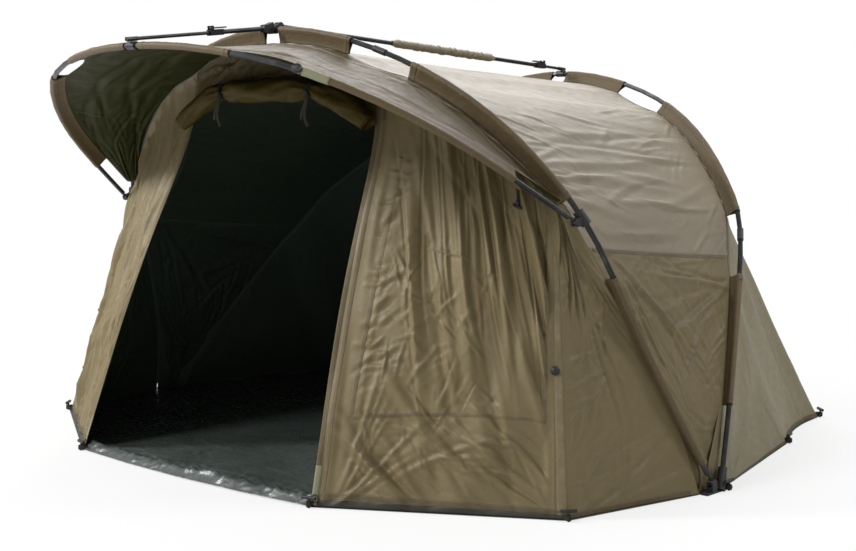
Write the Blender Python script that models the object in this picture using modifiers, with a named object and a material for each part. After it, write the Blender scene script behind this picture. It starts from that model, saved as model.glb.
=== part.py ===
"""Pram-hood bivvy tent: three hoops on two pivot blocks, two ridge bars and a sewn canopy.

Metres, +Z up. The doorway faces -Y and the origin lies on the ground under the middle of the tent.
The middle hoop folds back on the pivot blocks, the peak hoop folds on the middle hoop's junction
blocks, and each ridge bar swings on the hub at the top of the middle hoop.
"""

import math

import bmesh
import bpy
import numpy as np
from mathutils import Matrix, Vector

# Driving sizes of the frame
HALF_SPAN = 1.500          # from the middle of the tent to a pivot block
PIVOT_Y = -0.0905          # the pivots' place along the tent
PIVOT_Z = 0.034            # height of the hoops' feet
FOOT_SPREAD = 0.060        # between the middle hoop's pivot and the rear hoop's socket
REAR_LEAN = math.radians(54.0)
REAR_HEIGHT = 1.770
MIDDLE_LEAN = math.radians(112.0)
MIDDLE_HEIGHT = 1.673
PEAK_LEAN = math.radians(145.8)
PEAK_HEIGHT = 1.032
JUNCTION_RISE_SHARE = .58398   # of the middle hoop's height
JUNCTION_RISE = MIDDLE_HEIGHT * JUNCTION_RISE_SHARE
JUNCTION_REACH = 0.036     # the peak hoop's pivot ahead of the middle hoop's tube

# Hoop outlines, from the top to the foot: shares of the half span and of the height
MIDDLE_SHARES = ((0, 1), (.21, .978), (.40, .922), (.56, .843), (.68, .750), (.76, .660),
                 (.815, .575), (.85, .480), (.885, .350), (.93, .205), (1, 0))
REAR_SHARES = ((0, 1), (.20, .975), (.40, .910), (.57, .810), (.70, .695), (.785, .595),
               (.835, .490), (.88, .365), (.94, .190), (1, 0))
PEAK_SHARES = ((0, 1), (.25, .972), (.42, .914), (.55, .842), (.66, .742), (.76, .617),
               (.835, .490), (.91, .300), (1, 0))
STATIONS = 24              # along each half of the middle and rear hoops
SEAM_STATION = 8           # the roof's side seam
JUNCTION_STATION = 10      # the first station above the junction blocks
DOOR_STATION = 19          # where the door's edge meets the middle hoop
BEND_WEIGHT = 0.25         # metres of tube that one radian of bend counts for
WALL_COLUMNS = 21          # of a front wall's mesh, from the corner seam to the door
WALL_ROWS = 13
HEADER_ROWS = 4
SHARP_ANGLE = math.radians(40.0)   # between faces that meet in a sharp edge
TINY = 1e-6

# Where the ground line turns, on the right: the pegged points of the hem
DOOR_FOOT_SHARE = .4227    # of the half span, as in the next three
CORNER_FOOT_SHARE = .9033
SIDE_FOOT_SHARE = .8613
REAR_FOOT_SHARE = .7547
DOOR_FOOT = (HALF_SPAN * DOOR_FOOT_SHARE, -1.170)
CORNER_FOOT = (HALF_SPAN * CORNER_FOOT_SHARE, -0.735)
SIDE_FOOT = (HALF_SPAN * SIDE_FOOT_SHARE, 0.762)
REAR_FOOT = (HALF_SPAN * REAR_FOOT_SHARE, 1.317)
BACK_FOOT_Y = 1.300
SIDE_FOOT_STATION = 9
REAR_FOOT_STATION = 15
HEM_SAG = 0.035            # how far a hem curves in between two pegs
CORNER_TOP_SHARES = (.7733, .5290)     # of the half span, and of the middle hoop's height
CORNER_TOP = (HALF_SPAN * CORNER_TOP_SHARES[0], -0.545, MIDDLE_HEIGHT * CORNER_TOP_SHARES[1])

# Tubes, sleeves and fabric
RIB_RADIUS = 0.0095
RIB_SIDES_RESOLUTION = 2
OUTLINE_SAMPLES = 1201     # taken along a hoop's curve before its stations are chosen
END_MARGIN_SHARE = .05     # of a station, kept between a sleeve's end and the next station
WELD = 0.00002             # points this close become one
FIT = 0.0003               # gap between pieces that touch
FABRIC = 0.0014
SLEEVE_RADIUS = 0.0121     # of a sleeve's round part, outside
SLEEVE_ARC_POINTS = 5      # round the outer half of a sleeve
WEB_LOW = 0.020            # depth of the web below the tube's axis at the foot
WEB_HIGH = 0.048           # and from the shoulders to the top
WEB_RAMP = 14              # stations over which the web deepens
WEB_HALF = 0.0025          # half thickness of the web at its seam
SKIN_CLEARANCE = 0.0005    # between a web and the canopy sewn to it
WALL_AHEAD = 0.004         # the front wall's upper edge ahead of the hood's seam
HOOD_START = 0.5           # stations above the junction where the hood begins
EDGE_GAP = 0.0011          # half the gap where two panels meet at a seam
SEAM_DRAW = 1.9            # times that gap, where a seam crosses a hoop in its bend
SHEET = 0.0020             # groundsheet
SHEET_LIP = 0.006          # how far the groundsheet shows past the hems
SHEET_BOW = 0.035          # how far the groundsheet's front edge bows out
FOLD_DEPTH = 0.012         # depth of the front walls' hanging folds
WALL_BOW = 0.90            # how strongly the front wall curves back under the hood
FOLD_COUNT_SHARES = ((5.0, 0.9, 0.6), (9.0, -1.3, 0.4))
SIDE_LOW = 0.55            # the station where the side panels end above the pivot blocks

# Sleeve ends along each half hoop, shares of the foot-to-top length
MIDDLE_END_SHARES = (.030, .732, .842, .984)
REAR_SLEEVE_SHARES = (("lower", .115, .330), ("upper", .448, .742), ("centre", .849, .984))
PEAK_SLEEVE_SHARES = (("side", .155, .606), ("centre", .745, .978))
LOWER_SLEEVE_GAP = 0.2270  # along the tube, from the junction block's middle down to the lower sleeve
UPPER_SLEEVE_GAP = 0.0768  # and up to the upper sleeve
MIDDLE_COLLAR_SHARE = .790
REAR_COLLAR_SHARE = .403

# Fittings
COLLAR_RADIUS = 0.0120
COLLAR_LENGTH = 0.052
CLAMP_RADIUS = 0.0185
CLAMP_LENGTH = 0.054
CHEEK_RADIUS = 0.0145
EYE_RADIUS = 0.0125
EYE_WIDTH = 0.0110
PIN_RADIUS = 0.0045
CHEEK_THICKNESS = 0.0070
TUBE_SETBACK = 0.0360      # from a pivot to where the round tube begins
NECK = 0.0215              # straight part of the neck above an eye
BLOCK_LENGTH = 0.160
BLOCK_TOP = 0.022          # above the pivot
SOCKET_RADIUS = 0.0165
SOCKET_DEPTH = 0.045
COLUMN_SPLAY = 0.0016      # how far the socket's column leans out towards its foot
PLATE = 0.006
ROUNDING = 0.0015

# Ridge bars
FRONT_RISE = 0.018         # the front bar's pivot, outwards from the middle hoop's axis
BACK_RISE = 0.003
HUB_REACH = 0.034
DECK_LAP = 0.004           # how far the hub's two decks run into each other
HUB_HALF_WIDTH = 0.021
TOP_CLAMP_RADIUS = 0.0142
BAR_RADIUS = 0.0086
BAR_INNER_RADIUS = 0.0064
BAR_FOOT_RADIUS = 0.0078
BAR_FOOT_LENGTH = 0.046
HOUSING = (0.024, 0.058, 0.021)
FRONT_CAM_SHARE = .44
REAR_CAM_SHARE = .925
BAR_OVERLAP = 0.050        # inner tube left inside the outer one
LEVER = (0.014, 0.066, 0.0050)
LEVER_PIN_RADIUS = 0.0028
LEVER_LUG = 0.0035
WRAP_SHARES = (.350, .720)
WRAP_RADIUS = 0.0165
WRAP_SIDES = 10
WRAP_RINGS = 12

# Rolled door, carried under the header
DOOR_TOP_SIDE_SHARE = .7382    # of the middle hoop's height
DOOR_TOP_MIDDLE_SHARE = .8201
DOOR_TOP_SIDE = MIDDLE_HEIGHT * DOOR_TOP_SIDE_SHARE
DOOR_TOP_MIDDLE = MIDDLE_HEIGHT * DOOR_TOP_MIDDLE_SHARE
DOOR_TOP_BOW = 2.6         # how late the door's upper edge drops towards its corners
ROLL_SAG = 0.022           # of the roll between its two ties
ROLL_RADIUS = 0.042
ROLL_HALF_SHARE = .3333    # of the half span
ROLL_HALF_SPAN = HALF_SPAN * ROLL_HALF_SHARE
ROLL_SEAT = 1.041          # the roll's axis ahead of the header, in radii
ROLL_POINTS = 25

# Pegs
PEG_RADIUS = 0.0040
PEG_HEIGHT = 0.034
PEG_HEAD_RADIUS = 0.0062
PEG_HEAD_LENGTH = 0.052

OVERRUN = 0.010            # how far every cutter passes the faces it cuts


def clear_scene():
    for old in list(bpy.data.objects):
        bpy.data.objects.remove(old, do_unlink=True)


def new_collection(name):
    made = bpy.data.collections.new(name)
    bpy.context.scene.collection.children.link(made)
    return made


clear_scene()
PARTS = new_collection("bivvy_tent")
CUTTERS = new_collection("cutters")


def material(name, color, roughness, metallic=0.0):
    made = bpy.data.materials.new(name)
    made.use_nodes = True
    shader = made.node_tree.nodes["Principled BSDF"]
    shader.inputs["Base Color"].default_value = (*color, 1.0)
    shader.inputs["Roughness"].default_value = roughness
    shader.inputs["Metallic"].default_value = metallic
    return made


CANOPY = material("canopy_fabric", (0.130, 0.112, 0.070), 0.55)
WALL = material("wall_fabric", (0.095, 0.082, 0.050), 0.62)
SLEEVE = material("sleeve_fabric", (0.120, 0.085, 0.050), 0.70)
SHEETING = material("groundsheet_film", (0.030, 0.036, 0.034), 0.35)
ROLL_CLOTH = material("door_fabric", (0.125, 0.110, 0.055), 0.65)
TUBE = material("gunmetal_tube", (0.060, 0.062, 0.065), 0.35, 0.85)
MOULDING = material("black_moulding", (0.015, 0.015, 0.016), 0.45)
PEG = material("peg_moulding", (0.012, 0.012, 0.012), 0.50)


# General shape helpers

def link(obj, where=PARTS):
    where.objects.link(obj)
    return obj


def guide(obj):
    """Marks a cutter or a piece to be joined, which is no part of its own."""
    obj.hide_render = True
    obj.display_type = "WIRE"
    return obj


def frame_at(place, lean=0.0, turn=0.0):
    """A frame at a place, leant about X and then turned about its own Z."""
    return Matrix.Translation(place) @ Matrix.Rotation(lean, 4, "X") @ Matrix.Rotation(turn, 4, "Z")


def box(name, low, high, frame, paint=MOULDING, where=CUTTERS):
    mesh = bpy.data.meshes.new(name)
    shape = bmesh.new()
    bmesh.ops.create_cube(shape, size=1.0)
    low = Vector(low)
    high = Vector(high)
    size = high - low
    bmesh.ops.transform(shape, matrix=Matrix.Diagonal((*size, 1.0)), verts=shape.verts)
    bmesh.ops.transform(shape, matrix=Matrix.Translation((low + high) / 2), verts=shape.verts)
    shape.to_mesh(mesh)
    shape.free()
    mesh.materials.append(paint)
    obj = bpy.data.objects.new(name, mesh)
    obj.matrix_world = frame
    link(obj, where)
    return obj


def rod(name, start, end, radius, sides=16, paint=MOULDING, where=CUTTERS):
    """A closed cylinder between two world points."""
    start = Vector(start)
    end = Vector(end)
    mesh = bpy.data.meshes.new(name)
    shape = bmesh.new()
    bmesh.ops.create_cone(shape, cap_ends=True, segments=sides, radius1=radius, radius2=radius,
                          depth=(end - start).length)
    shape.to_mesh(mesh)
    shape.free()
    mesh.materials.append(paint)
    obj = bpy.data.objects.new(name, mesh)
    turn = (end - start).to_track_quat("Z", "Y").to_matrix().to_4x4()
    obj.matrix_world = Matrix.Translation((start + end) / 2) @ turn
    link(obj, where)
    return obj


def ball(name, centre, radius, paint=MOULDING, where=CUTTERS):
    mesh = bpy.data.meshes.new(name)
    shape = bmesh.new()
    bmesh.ops.create_icosphere(shape, subdivisions=2, radius=radius)
    shape.to_mesh(mesh)
    shape.free()
    mesh.materials.append(paint)
    obj = bpy.data.objects.new(name, mesh)
    obj.matrix_world = Matrix.Translation(centre)
    link(obj, where)
    return obj


def bool_step(base, other, operation):
    step = base.modifiers.new(other.name, "BOOLEAN")
    step.operation = operation
    step.object = guide(other)


def assemble(name, base, joined=(), cut=(), parent=None):
    """Joins and cuts a base into one named solid and gives it its parent's frame."""
    for other in joined:
        bool_step(base, other, "UNION")
    for other in cut:
        bool_step(base, other, "DIFFERENCE")
    return solid_from(name, base, parent)


def solid_from(name, base, parent=None):
    """Turns an object's evaluated shape into a plain named mesh in its parent's frame."""
    view = bpy.context.view_layer
    view.update()
    seen = base.evaluated_get(bpy.context.evaluated_depsgraph_get())
    mesh = bpy.data.meshes.new_from_object(seen)
    mesh.name = name
    home = parent.matrix_world.copy() if parent else Matrix.Identity(4)
    mesh.transform(home.inverted() @ base.matrix_world)
    weld(mesh)
    obj = bpy.data.objects.new(name, mesh)
    link(obj)
    obj.parent = parent
    bpy.data.objects.remove(base, do_unlink=True)
    shade(obj)
    return obj


def weld(mesh):
    shape = bmesh.new()
    shape.from_mesh(mesh)
    bmesh.ops.remove_doubles(shape, verts=shape.verts, dist=WELD)
    shape.to_mesh(mesh)
    shape.free()


def shade(obj):
    obj.data.shade_smooth()
    obj.data.set_sharp_from_angle(angle=SHARP_ANGLE)


def mirrored(obj, name):
    """The left-hand copy of a right-hand piece."""
    mesh = obj.data.copy()
    mesh.name = name
    mesh.transform(Matrix.Scale(-1.0, 4, (1.0, 0.0, 0.0)))
    mesh.flip_normals()
    twin = bpy.data.objects.new(name, mesh)
    link(twin)
    twin.parent = obj.parent
    return twin


def skin(name, rows, paint, parent=None, wrap=False, thickness=FABRIC, offset=0.0):
    """A sheet through rows of world points, given its thickness by Solidify."""
    home = parent.matrix_world.copy() if parent else Matrix.Identity(4)
    back = home.inverted()
    shape = bmesh.new()
    grid = [[shape.verts.new(back @ Vector(point)) for point in row] for row in rows]
    across = len(rows[0])
    last = across if wrap else across - 1
    for upper, lower in zip(grid, grid[1:]):
        for k in range(last):
            following = (k + 1) % across
            shape.faces.new((upper[k], upper[following], lower[following], lower[k]))
    mesh = bpy.data.meshes.new(name)
    shape.to_mesh(mesh)
    shape.free()
    mesh.materials.append(paint)
    obj = bpy.data.objects.new(name, mesh)
    link(obj)
    obj.parent = parent
    solid = obj.modifiers.new("thickness", "SOLIDIFY")
    solid.thickness = thickness
    solid.offset = offset
    shade(obj)
    return obj


def between(start, end, share):
    return Vector(start).lerp(Vector(end), share)


def loft(first, second, rows):
    """Rows of points from one edge to the other."""
    return [[between(a, b, k / (rows - 1)) for a, b in zip(first, second)] for k in range(rows)]


# Hoops

def spline_through(points, samples):
    """A natural cubic spline through points, by chord length."""
    knots = np.array(points, dtype=float)
    along = np.concatenate(([0.0], np.cumsum(np.linalg.norm(np.diff(knots, axis=0), axis=1))))
    step = np.diff(along)
    count = len(knots)
    system = np.eye(count)
    right = np.zeros_like(knots)
    for k in range(1, count - 1):
        system[k, k - 1:k + 2] = step[k - 1], 2 * (step[k - 1] + step[k]), step[k]
        slope_after = (knots[k + 1] - knots[k]) / step[k]
        slope_before = (knots[k] - knots[k - 1]) / step[k - 1]
        right[k] = 6 * (slope_after - slope_before)
    bend = np.linalg.solve(system, right)
    places = np.linspace(0.0, along[-1], samples)
    cell = np.clip(np.searchsorted(along, places, side="right") - 1, 0, count - 2)
    width = step[cell][:, None]
    after = (places - along[cell])[:, None]
    before = width - after
    cubic = (bend[cell] * before ** 3 + bend[cell + 1] * after ** 3) / (6 * width)
    linear_start = (knots[cell] / width - bend[cell] * width / 6) * before
    linear_end = (knots[cell + 1] / width - bend[cell + 1] * width / 6) * after
    return cubic + linear_start + linear_end


def hoop_stations(half_span, height, outline_shares, half_count):
    """Points from the right foot over the top to the left foot, closer together in the bends."""
    half = [(x * half_span, s * height) for x, s in outline_shares]
    whole = half[::-1] + [(-x, s) for x, s in half[1:]]
    dense = spline_through(whole, OUTLINE_SAMPLES)[: OUTLINE_SAMPLES // 2 + 1]
    steps = np.diff(dense, axis=0)
    lengths = np.linalg.norm(steps, axis=1)
    headings = np.unwrap(np.arctan2(steps[:, 1], steps[:, 0]))
    bends = np.abs(np.diff(headings, prepend=headings[0]))
    weight = np.concatenate(([0.0], np.cumsum(lengths + BEND_WEIGHT * bends)))
    wanted = np.linspace(0.0, weight[-1], half_count + 1)
    right = [(np.interp(w, weight, dense[:, 0]), np.interp(w, weight, dense[:, 1])) for w in wanted]
    right[-1] = (0.0, height)
    return [Vector((x, s, 0.0)) for x, s in right] + [Vector((-x, s, 0.0)) for x, s in right[-2::-1]]


class Hoop:
    """A bent tube in the XY plane of its own empty, which sits on the hoop's fold axis."""

    def __init__(self, name, place, lean, half_span, height, outline_shares, half_count, parent=None):
        self.empty = bpy.data.objects.new(name + "_axis", None)
        link(self.empty)
        self.empty.parent = parent
        self.empty.location = place
        self.empty.rotation_euler = (lean, 0.0, 0.0)
        bpy.context.view_layer.update()
        self.frame = self.empty.matrix_world.copy()
        self.points = hoop_stations(half_span, height, outline_shares, half_count)
        self.half = half_count
        self.lengths = [0.0]
        for a, b in zip(self.points, self.points[1:]):
            self.lengths.append(self.lengths[-1] + (b - a).length)

    def index_at(self, share):
        """The station number, with its fraction, at a share of the way from the foot to the top."""
        wanted = share * self.lengths[self.half]
        return float(np.interp(wanted, self.lengths, range(len(self.lengths))))

    def tangent(self, index):
        low = min(max(int(math.floor(index - TINY)), 0), len(self.points) - 2)
        on_station = abs(index - round(index)) < 1e-6 and 0 < round(index) < len(self.points) - 1
        if on_station:
            k = round(index)
            before = (self.points[k] - self.points[k - 1]).normalized()
            after = (self.points[k + 1] - self.points[k]).normalized()
            return (before + after).normalized()
        return (self.points[low + 1] - self.points[low]).normalized()

    def local(self, index, inset=0.0, ahead=0.0):
        """A point beside the tube: inset towards the inside of the hoop, ahead off its plane."""
        low = min(int(math.floor(index)), len(self.points) - 2)
        point = self.points[low].lerp(self.points[low + 1], index - low)
        along = self.tangent(index)
        inward = Vector((-along.y, along.x, 0.0))
        return point + inward * inset + Vector((0.0, 0.0, ahead))

    def world(self, index, inset=0.0, ahead=0.0):
        return self.frame @ self.local(index, inset, ahead)

    def indices(self, start, end):
        """The stations between two places, with both ends."""
        inner = [k for k in range(math.ceil(start + END_MARGIN_SHARE),
                                  math.floor(end - END_MARGIN_SHARE) + 1)]
        return [start] + inner + [end]


REAR = Hoop("rear_hoop", (0.0, PIVOT_Y + FOOT_SPREAD / 2, PIVOT_Z), REAR_LEAN,
            HALF_SPAN, REAR_HEIGHT, REAR_SHARES, STATIONS)
MIDDLE = Hoop("middle_hoop", (0.0, PIVOT_Y - FOOT_SPREAD / 2, PIVOT_Z), MIDDLE_LEAN,
              HALF_SPAN, MIDDLE_HEIGHT, MIDDLE_SHARES, STATIONS)
JUNCTION_SHARE = float(np.interp(JUNCTION_RISE, [p.y for p in MIDDLE.points[:STATIONS + 1]],
                                 MIDDLE.lengths[:STATIONS + 1])) / MIDDLE.lengths[STATIONS]
JUNCTION_INDEX = MIDDLE.index_at(JUNCTION_SHARE)
JUNCTION_SPAN = MIDDLE.local(JUNCTION_INDEX).x
PEAK_STATIONS = STATIONS - JUNCTION_STATION
PEAK = Hoop("peak_hoop", (0.0, JUNCTION_RISE, JUNCTION_REACH), PEAK_LEAN - MIDDLE_LEAN,
            JUNCTION_SPAN, PEAK_HEIGHT, PEAK_SHARES, PEAK_STATIONS, MIDDLE.empty)


def tube_along(name, places, radius, frame):
    """A closed round tube along points of a hoop, as a mesh."""
    curve = bpy.data.curves.new(name + "_curve", "CURVE")
    curve.dimensions = "3D"
    curve.twist_mode = "Z_UP"
    curve.bevel_depth = radius
    curve.bevel_resolution = RIB_SIDES_RESOLUTION
    curve.use_fill_caps = True
    spline = curve.splines.new("POLY")
    spline.points.add(len(places) - 1)
    for point, place in zip(spline.points, places):
        point.co = (*place, 1.0)
    curve.materials.append(TUBE)
    line = bpy.data.objects.new(name + "_line", curve)
    link(line, CUTTERS)
    bpy.context.view_layer.update()
    seen = line.evaluated_get(bpy.context.evaluated_depsgraph_get())
    mesh = bpy.data.meshes.new_from_object(seen)
    bpy.data.objects.remove(line, do_unlink=True)
    weld(mesh)
    tube = bpy.data.objects.new(name, mesh)
    tube.matrix_world = frame
    return link(tube, CUTTERS)


def hoop_bore(name, hoop, start, end):
    """A cutter that follows the hoop's own bends, a little wider than its tube."""
    places = [hoop.local(k) for k in hoop.indices(start, end)]
    return tube_along(name, places, RIB_RADIUS + FIT, hoop.frame)


def eye_fitting(name, pivot, straight, neck_end=None, paint=TUBE):
    """An eye on a pin's axis, with a neck that leaves its fork straight before it meets the tube."""
    pivot = Vector(pivot)
    half = Vector((EYE_WIDTH / 2, 0.0, 0.0))
    overrun = Vector((OVERRUN + EYE_WIDTH, 0.0, 0.0))
    bend = pivot + straight * NECK
    hole = rod(name + "_hole", pivot - overrun, pivot + overrun, PIN_RADIUS + FIT)
    eye = rod(name + "_eye", pivot - half, pivot + half, EYE_RADIUS, paint=paint)
    neck = rod(name + "_neck", pivot + straight * (PIN_RADIUS * 1.6), bend, EYE_WIDTH / 2, paint=paint)
    if neck_end is None:
        return [neck, eye], hole
    elbow = ball(name + "_elbow", bend, EYE_WIDTH / 2, paint)
    toward = (neck_end - bend).normalized()
    reach = rod(name + "_reach", bend, neck_end + toward * OVERRUN, EYE_WIDTH / 2, paint=paint)
    return [reach, elbow, neck, eye], hole


def rib(name, hoop, eyes):
    """The hoop's tube, with an eye at each foot where it turns on a pin."""
    last = len(hoop.points) - 1
    setback = TUBE_SETBACK if eyes else BLOCK_TOP
    start = hoop.index_at(setback / hoop.lengths[hoop.half])
    places = [hoop.local(k) for k in hoop.indices(start, last - start)]
    tube = tube_along(name + "_tube", places, RIB_RADIUS, hoop.frame)
    if not eyes:
        return solid_from(name, tube, hoop.empty)
    joined = []
    cut = []
    straight = hoop.frame.to_3x3() @ Vector((0.0, 1.0, 0.0))
    for side in (1, -1):
        foot = hoop.frame @ Vector((side * hoop.points[0].x, 0.0, 0.0))
        neck_end = hoop.world(start if side > 0 else last - start)
        pieces, hole = eye_fitting(name, foot, straight, neck_end)
        joined += pieces
        cut.append(hole)
    return assemble(name, tube, joined, cut, hoop.empty)


def sleeve(name, hoop, start, end):
    """A fabric sleeve: round over the tube, then a flat web down to the canopy's seam."""
    rows = []
    for index in hoop.indices(start, end):
        centre = hoop.world(index)
        side, inward = web_frame(hoop, index)
        ring = []
        for k in range(SLEEVE_ARC_POINTS):
            angle = math.pi * k / (SLEEVE_ARC_POINTS - 1)
            spot = side * (SLEEVE_RADIUS * math.cos(angle)) - inward * (SLEEVE_RADIUS * math.sin(angle))
            ring.append(centre + spot)
        depth = web_depth(hoop, index)
        ring.append(centre - side * WEB_HALF + inward * depth)
        ring.append(centre + side * WEB_HALF + inward * depth)
        rows.append(ring)
    return skin(name, rows, SLEEVE, hoop.empty, wrap=True, offset=1.0 if hoop is not PEAK else -1.0)


def collar(name, hoop, share):
    """A plastic ferrule round the tube."""
    index = hoop.index_at(share)
    centre = hoop.world(index)
    along = (hoop.frame.to_3x3() @ hoop.tangent(index)).normalized()
    half = along * (COLLAR_LENGTH / 2)
    body = rod(name + "_body", centre - half, centre + half, COLLAR_RADIUS)
    bore = hoop_bore(name + "_bore", hoop, index - 1, index + 1)
    made = assemble(name, body, cut=[bore], parent=hoop.empty)
    return made, mirrored(made, name.replace("right", "left"))


# The canopy's lie beside each hoop, which sets how the sleeves are turned

def rear_foot_line():
    """Hem points behind the right pivot block, one for each station of the rear hoop's right half."""
    block_end = (HALF_SPAN - CHEEK_RADIUS, PIVOT_Y + BLOCK_LENGTH / 2 + SHEET_LIP)
    places = []
    for k in range(1, STATIONS + 1):
        if k <= SIDE_FOOT_STATION:
            places.append(hem_point(block_end, SIDE_FOOT, (k - 1) / (SIDE_FOOT_STATION - 1), 0.0))
        elif k <= REAR_FOOT_STATION:
            share = (k - SIDE_FOOT_STATION) / (REAR_FOOT_STATION - SIDE_FOOT_STATION)
            places.append(hem_point(SIDE_FOOT, REAR_FOOT, share, HEM_SAG))
        else:
            share = (k - REAR_FOOT_STATION) / (STATIONS - REAR_FOOT_STATION)
            back = (0.0, BACK_FOOT_Y)
            places.append(hem_point(REAR_FOOT, back, share, HEM_SAG * share * (1 - share)))
    return places


def hem_point(start, end, share, sag):
    """A point of the hem between two pegs, curved in towards the tent."""
    a = Vector((*start, SHEET + FIT))
    b = Vector((*end, SHEET + FIT))
    point = a.lerp(b, share)
    inward = Vector((-(b - a).y, (b - a).x, 0.0)).normalized()
    return point + inward * (4 * sag * share * (1 - share))


def mirror_point(point):
    return Vector((-point.x, point.y, point.z))


INSIDE = Vector((0.0, 0.0, HALF_SPAN / 2))
REAR_HEM = rear_foot_line()
REAR_HEM_ROUND = REAR_HEM + [mirror_point(p) for p in REAR_HEM[-2::-1]]


def whole_index(index, half):
    """The station mirrored to the right half."""
    return index if index <= half else 2 * half - index


def far_points(hoop, k):
    """The canopy's next support behind and ahead of a station on a hoop's right half."""
    if hoop is REAR:
        return REAR_HEM[min(max(round(k) - 1, 0), STATIONS - 1)], MIDDLE.world(k)
    if hoop is MIDDLE:
        if k > JUNCTION_STATION:
            return REAR.world(k), PEAK.world(k - JUNCTION_STATION)
        corner = between((*CORNER_FOOT, 0.0), CORNER_TOP, k / JUNCTION_STATION)
        return REAR.world(k), corner
    behind = MIDDLE.world(k + JUNCTION_STATION)
    return behind, PEAK.world(k) * 2 - behind


def lie(hoop, index):
    """At a station: the tube's direction, and the canopy's directions behind, ahead and between."""
    k = whole_index(index, hoop.half)
    here = hoop.world(k)
    along = (hoop.frame.to_3x3() @ hoop.tangent(k)).normalized()
    ways = []
    for far in far_points(hoop, k):
        way = far - here
        ways.append((way - along * way.dot(along)).normalized())
    behind, ahead = ways
    middle = (behind - ahead).normalized()
    if index > hoop.half:
        turned = [Vector((-way.x, way.y, way.z)) for way in (along, behind, ahead, middle)]
        along, behind, ahead, middle = -turned[0], turned[1], turned[2], turned[3]
    return along, behind, ahead, middle


def towards_inside(direction, here):
    return direction if direction.dot(INSIDE - here) > 0 else -direction


def web_depth(hoop, index):
    """How far the sleeve's web reaches below the tube's axis."""
    if hoop is PEAK:
        return WEB_HIGH
    share = min(whole_index(index, hoop.half) / WEB_RAMP, 1.0)
    return WEB_LOW + (WEB_HIGH - WEB_LOW) * share * share * (3 - 2 * share)


def web_frame(hoop, index):
    """Across a sleeve and down its web: the peak hoop's web lies in the hood, the others stand on it."""
    along, behind, _, middle = lie(hoop, index)
    here = hoop.world(index)
    if hoop is PEAK:
        return along.cross(behind).normalized(), behind
    inward = towards_inside(along.cross(middle).normalized(), here)
    return inward.cross(along).normalized(), inward


def beside(hoop, index, part_behind, spare=0.0):
    """The edge of the panel behind or ahead of a hoop, sewn to the web and clear of the next panel."""
    along, behind, ahead, middle = lie(hoop, index)
    way = behind if part_behind else ahead
    side = middle if part_behind else -middle
    here = hoop.world(index)
    _, web = web_frame(hoop, index)
    inward = towards_inside(along.cross(way).normalized(), here)
    tilt = math.acos(max(min(way.dot(side), 1.0), -1.0))
    ridge = -1.0 if inward.dot(side) > 0 else 1.0
    depth = SKIN_CLEARANCE + FABRIC / 2 + WEB_HALF * math.sin(tilt) + spare
    slip = (EDGE_GAP + ridge * depth * math.sin(tilt)) / math.cos(tilt)
    return here + web * web_depth(hoop, index) + inward * depth + way * slip


def under_hood(index):
    """A point of the front wall's upper edge, close under the hood just ahead of the middle hoop."""
    ahead = lie(MIDDLE, index)[2]
    return beside(MIDDLE, index, False, FABRIC / 2 + 5 * FIT) + ahead * WALL_AHEAD


def edge_of(hoop, indices, part_behind):
    return [beside(hoop, k, part_behind) for k in indices]


def sleeves(prefix, hoop, table_shares):
    last = len(hoop.points) - 1
    for part, start_share, end_share in table_shares:
        start = hoop.index_at(start_share)
        end = hoop.index_at(end_share)
        sleeve(f"{prefix}_sleeve_{part}_right", hoop, start, end)
        sleeve(f"{prefix}_sleeve_{part}_left", hoop, last - end, last - start)


def middle_sleeve_table():
    """The middle hoop's sleeve ends: the first two sleeves stop short of the junction block."""
    foot, shoulder, centre, top = MIDDLE_END_SHARES
    whole = MIDDLE.lengths[STATIONS]
    lower_end = JUNCTION_SHARE - LOWER_SLEEVE_GAP / whole
    upper_start = JUNCTION_SHARE + UPPER_SLEEVE_GAP / whole
    return ("lower", foot, lower_end), ("upper", upper_start, shoulder), ("centre", centre, top)


# Pivot blocks and junction blocks

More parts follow.
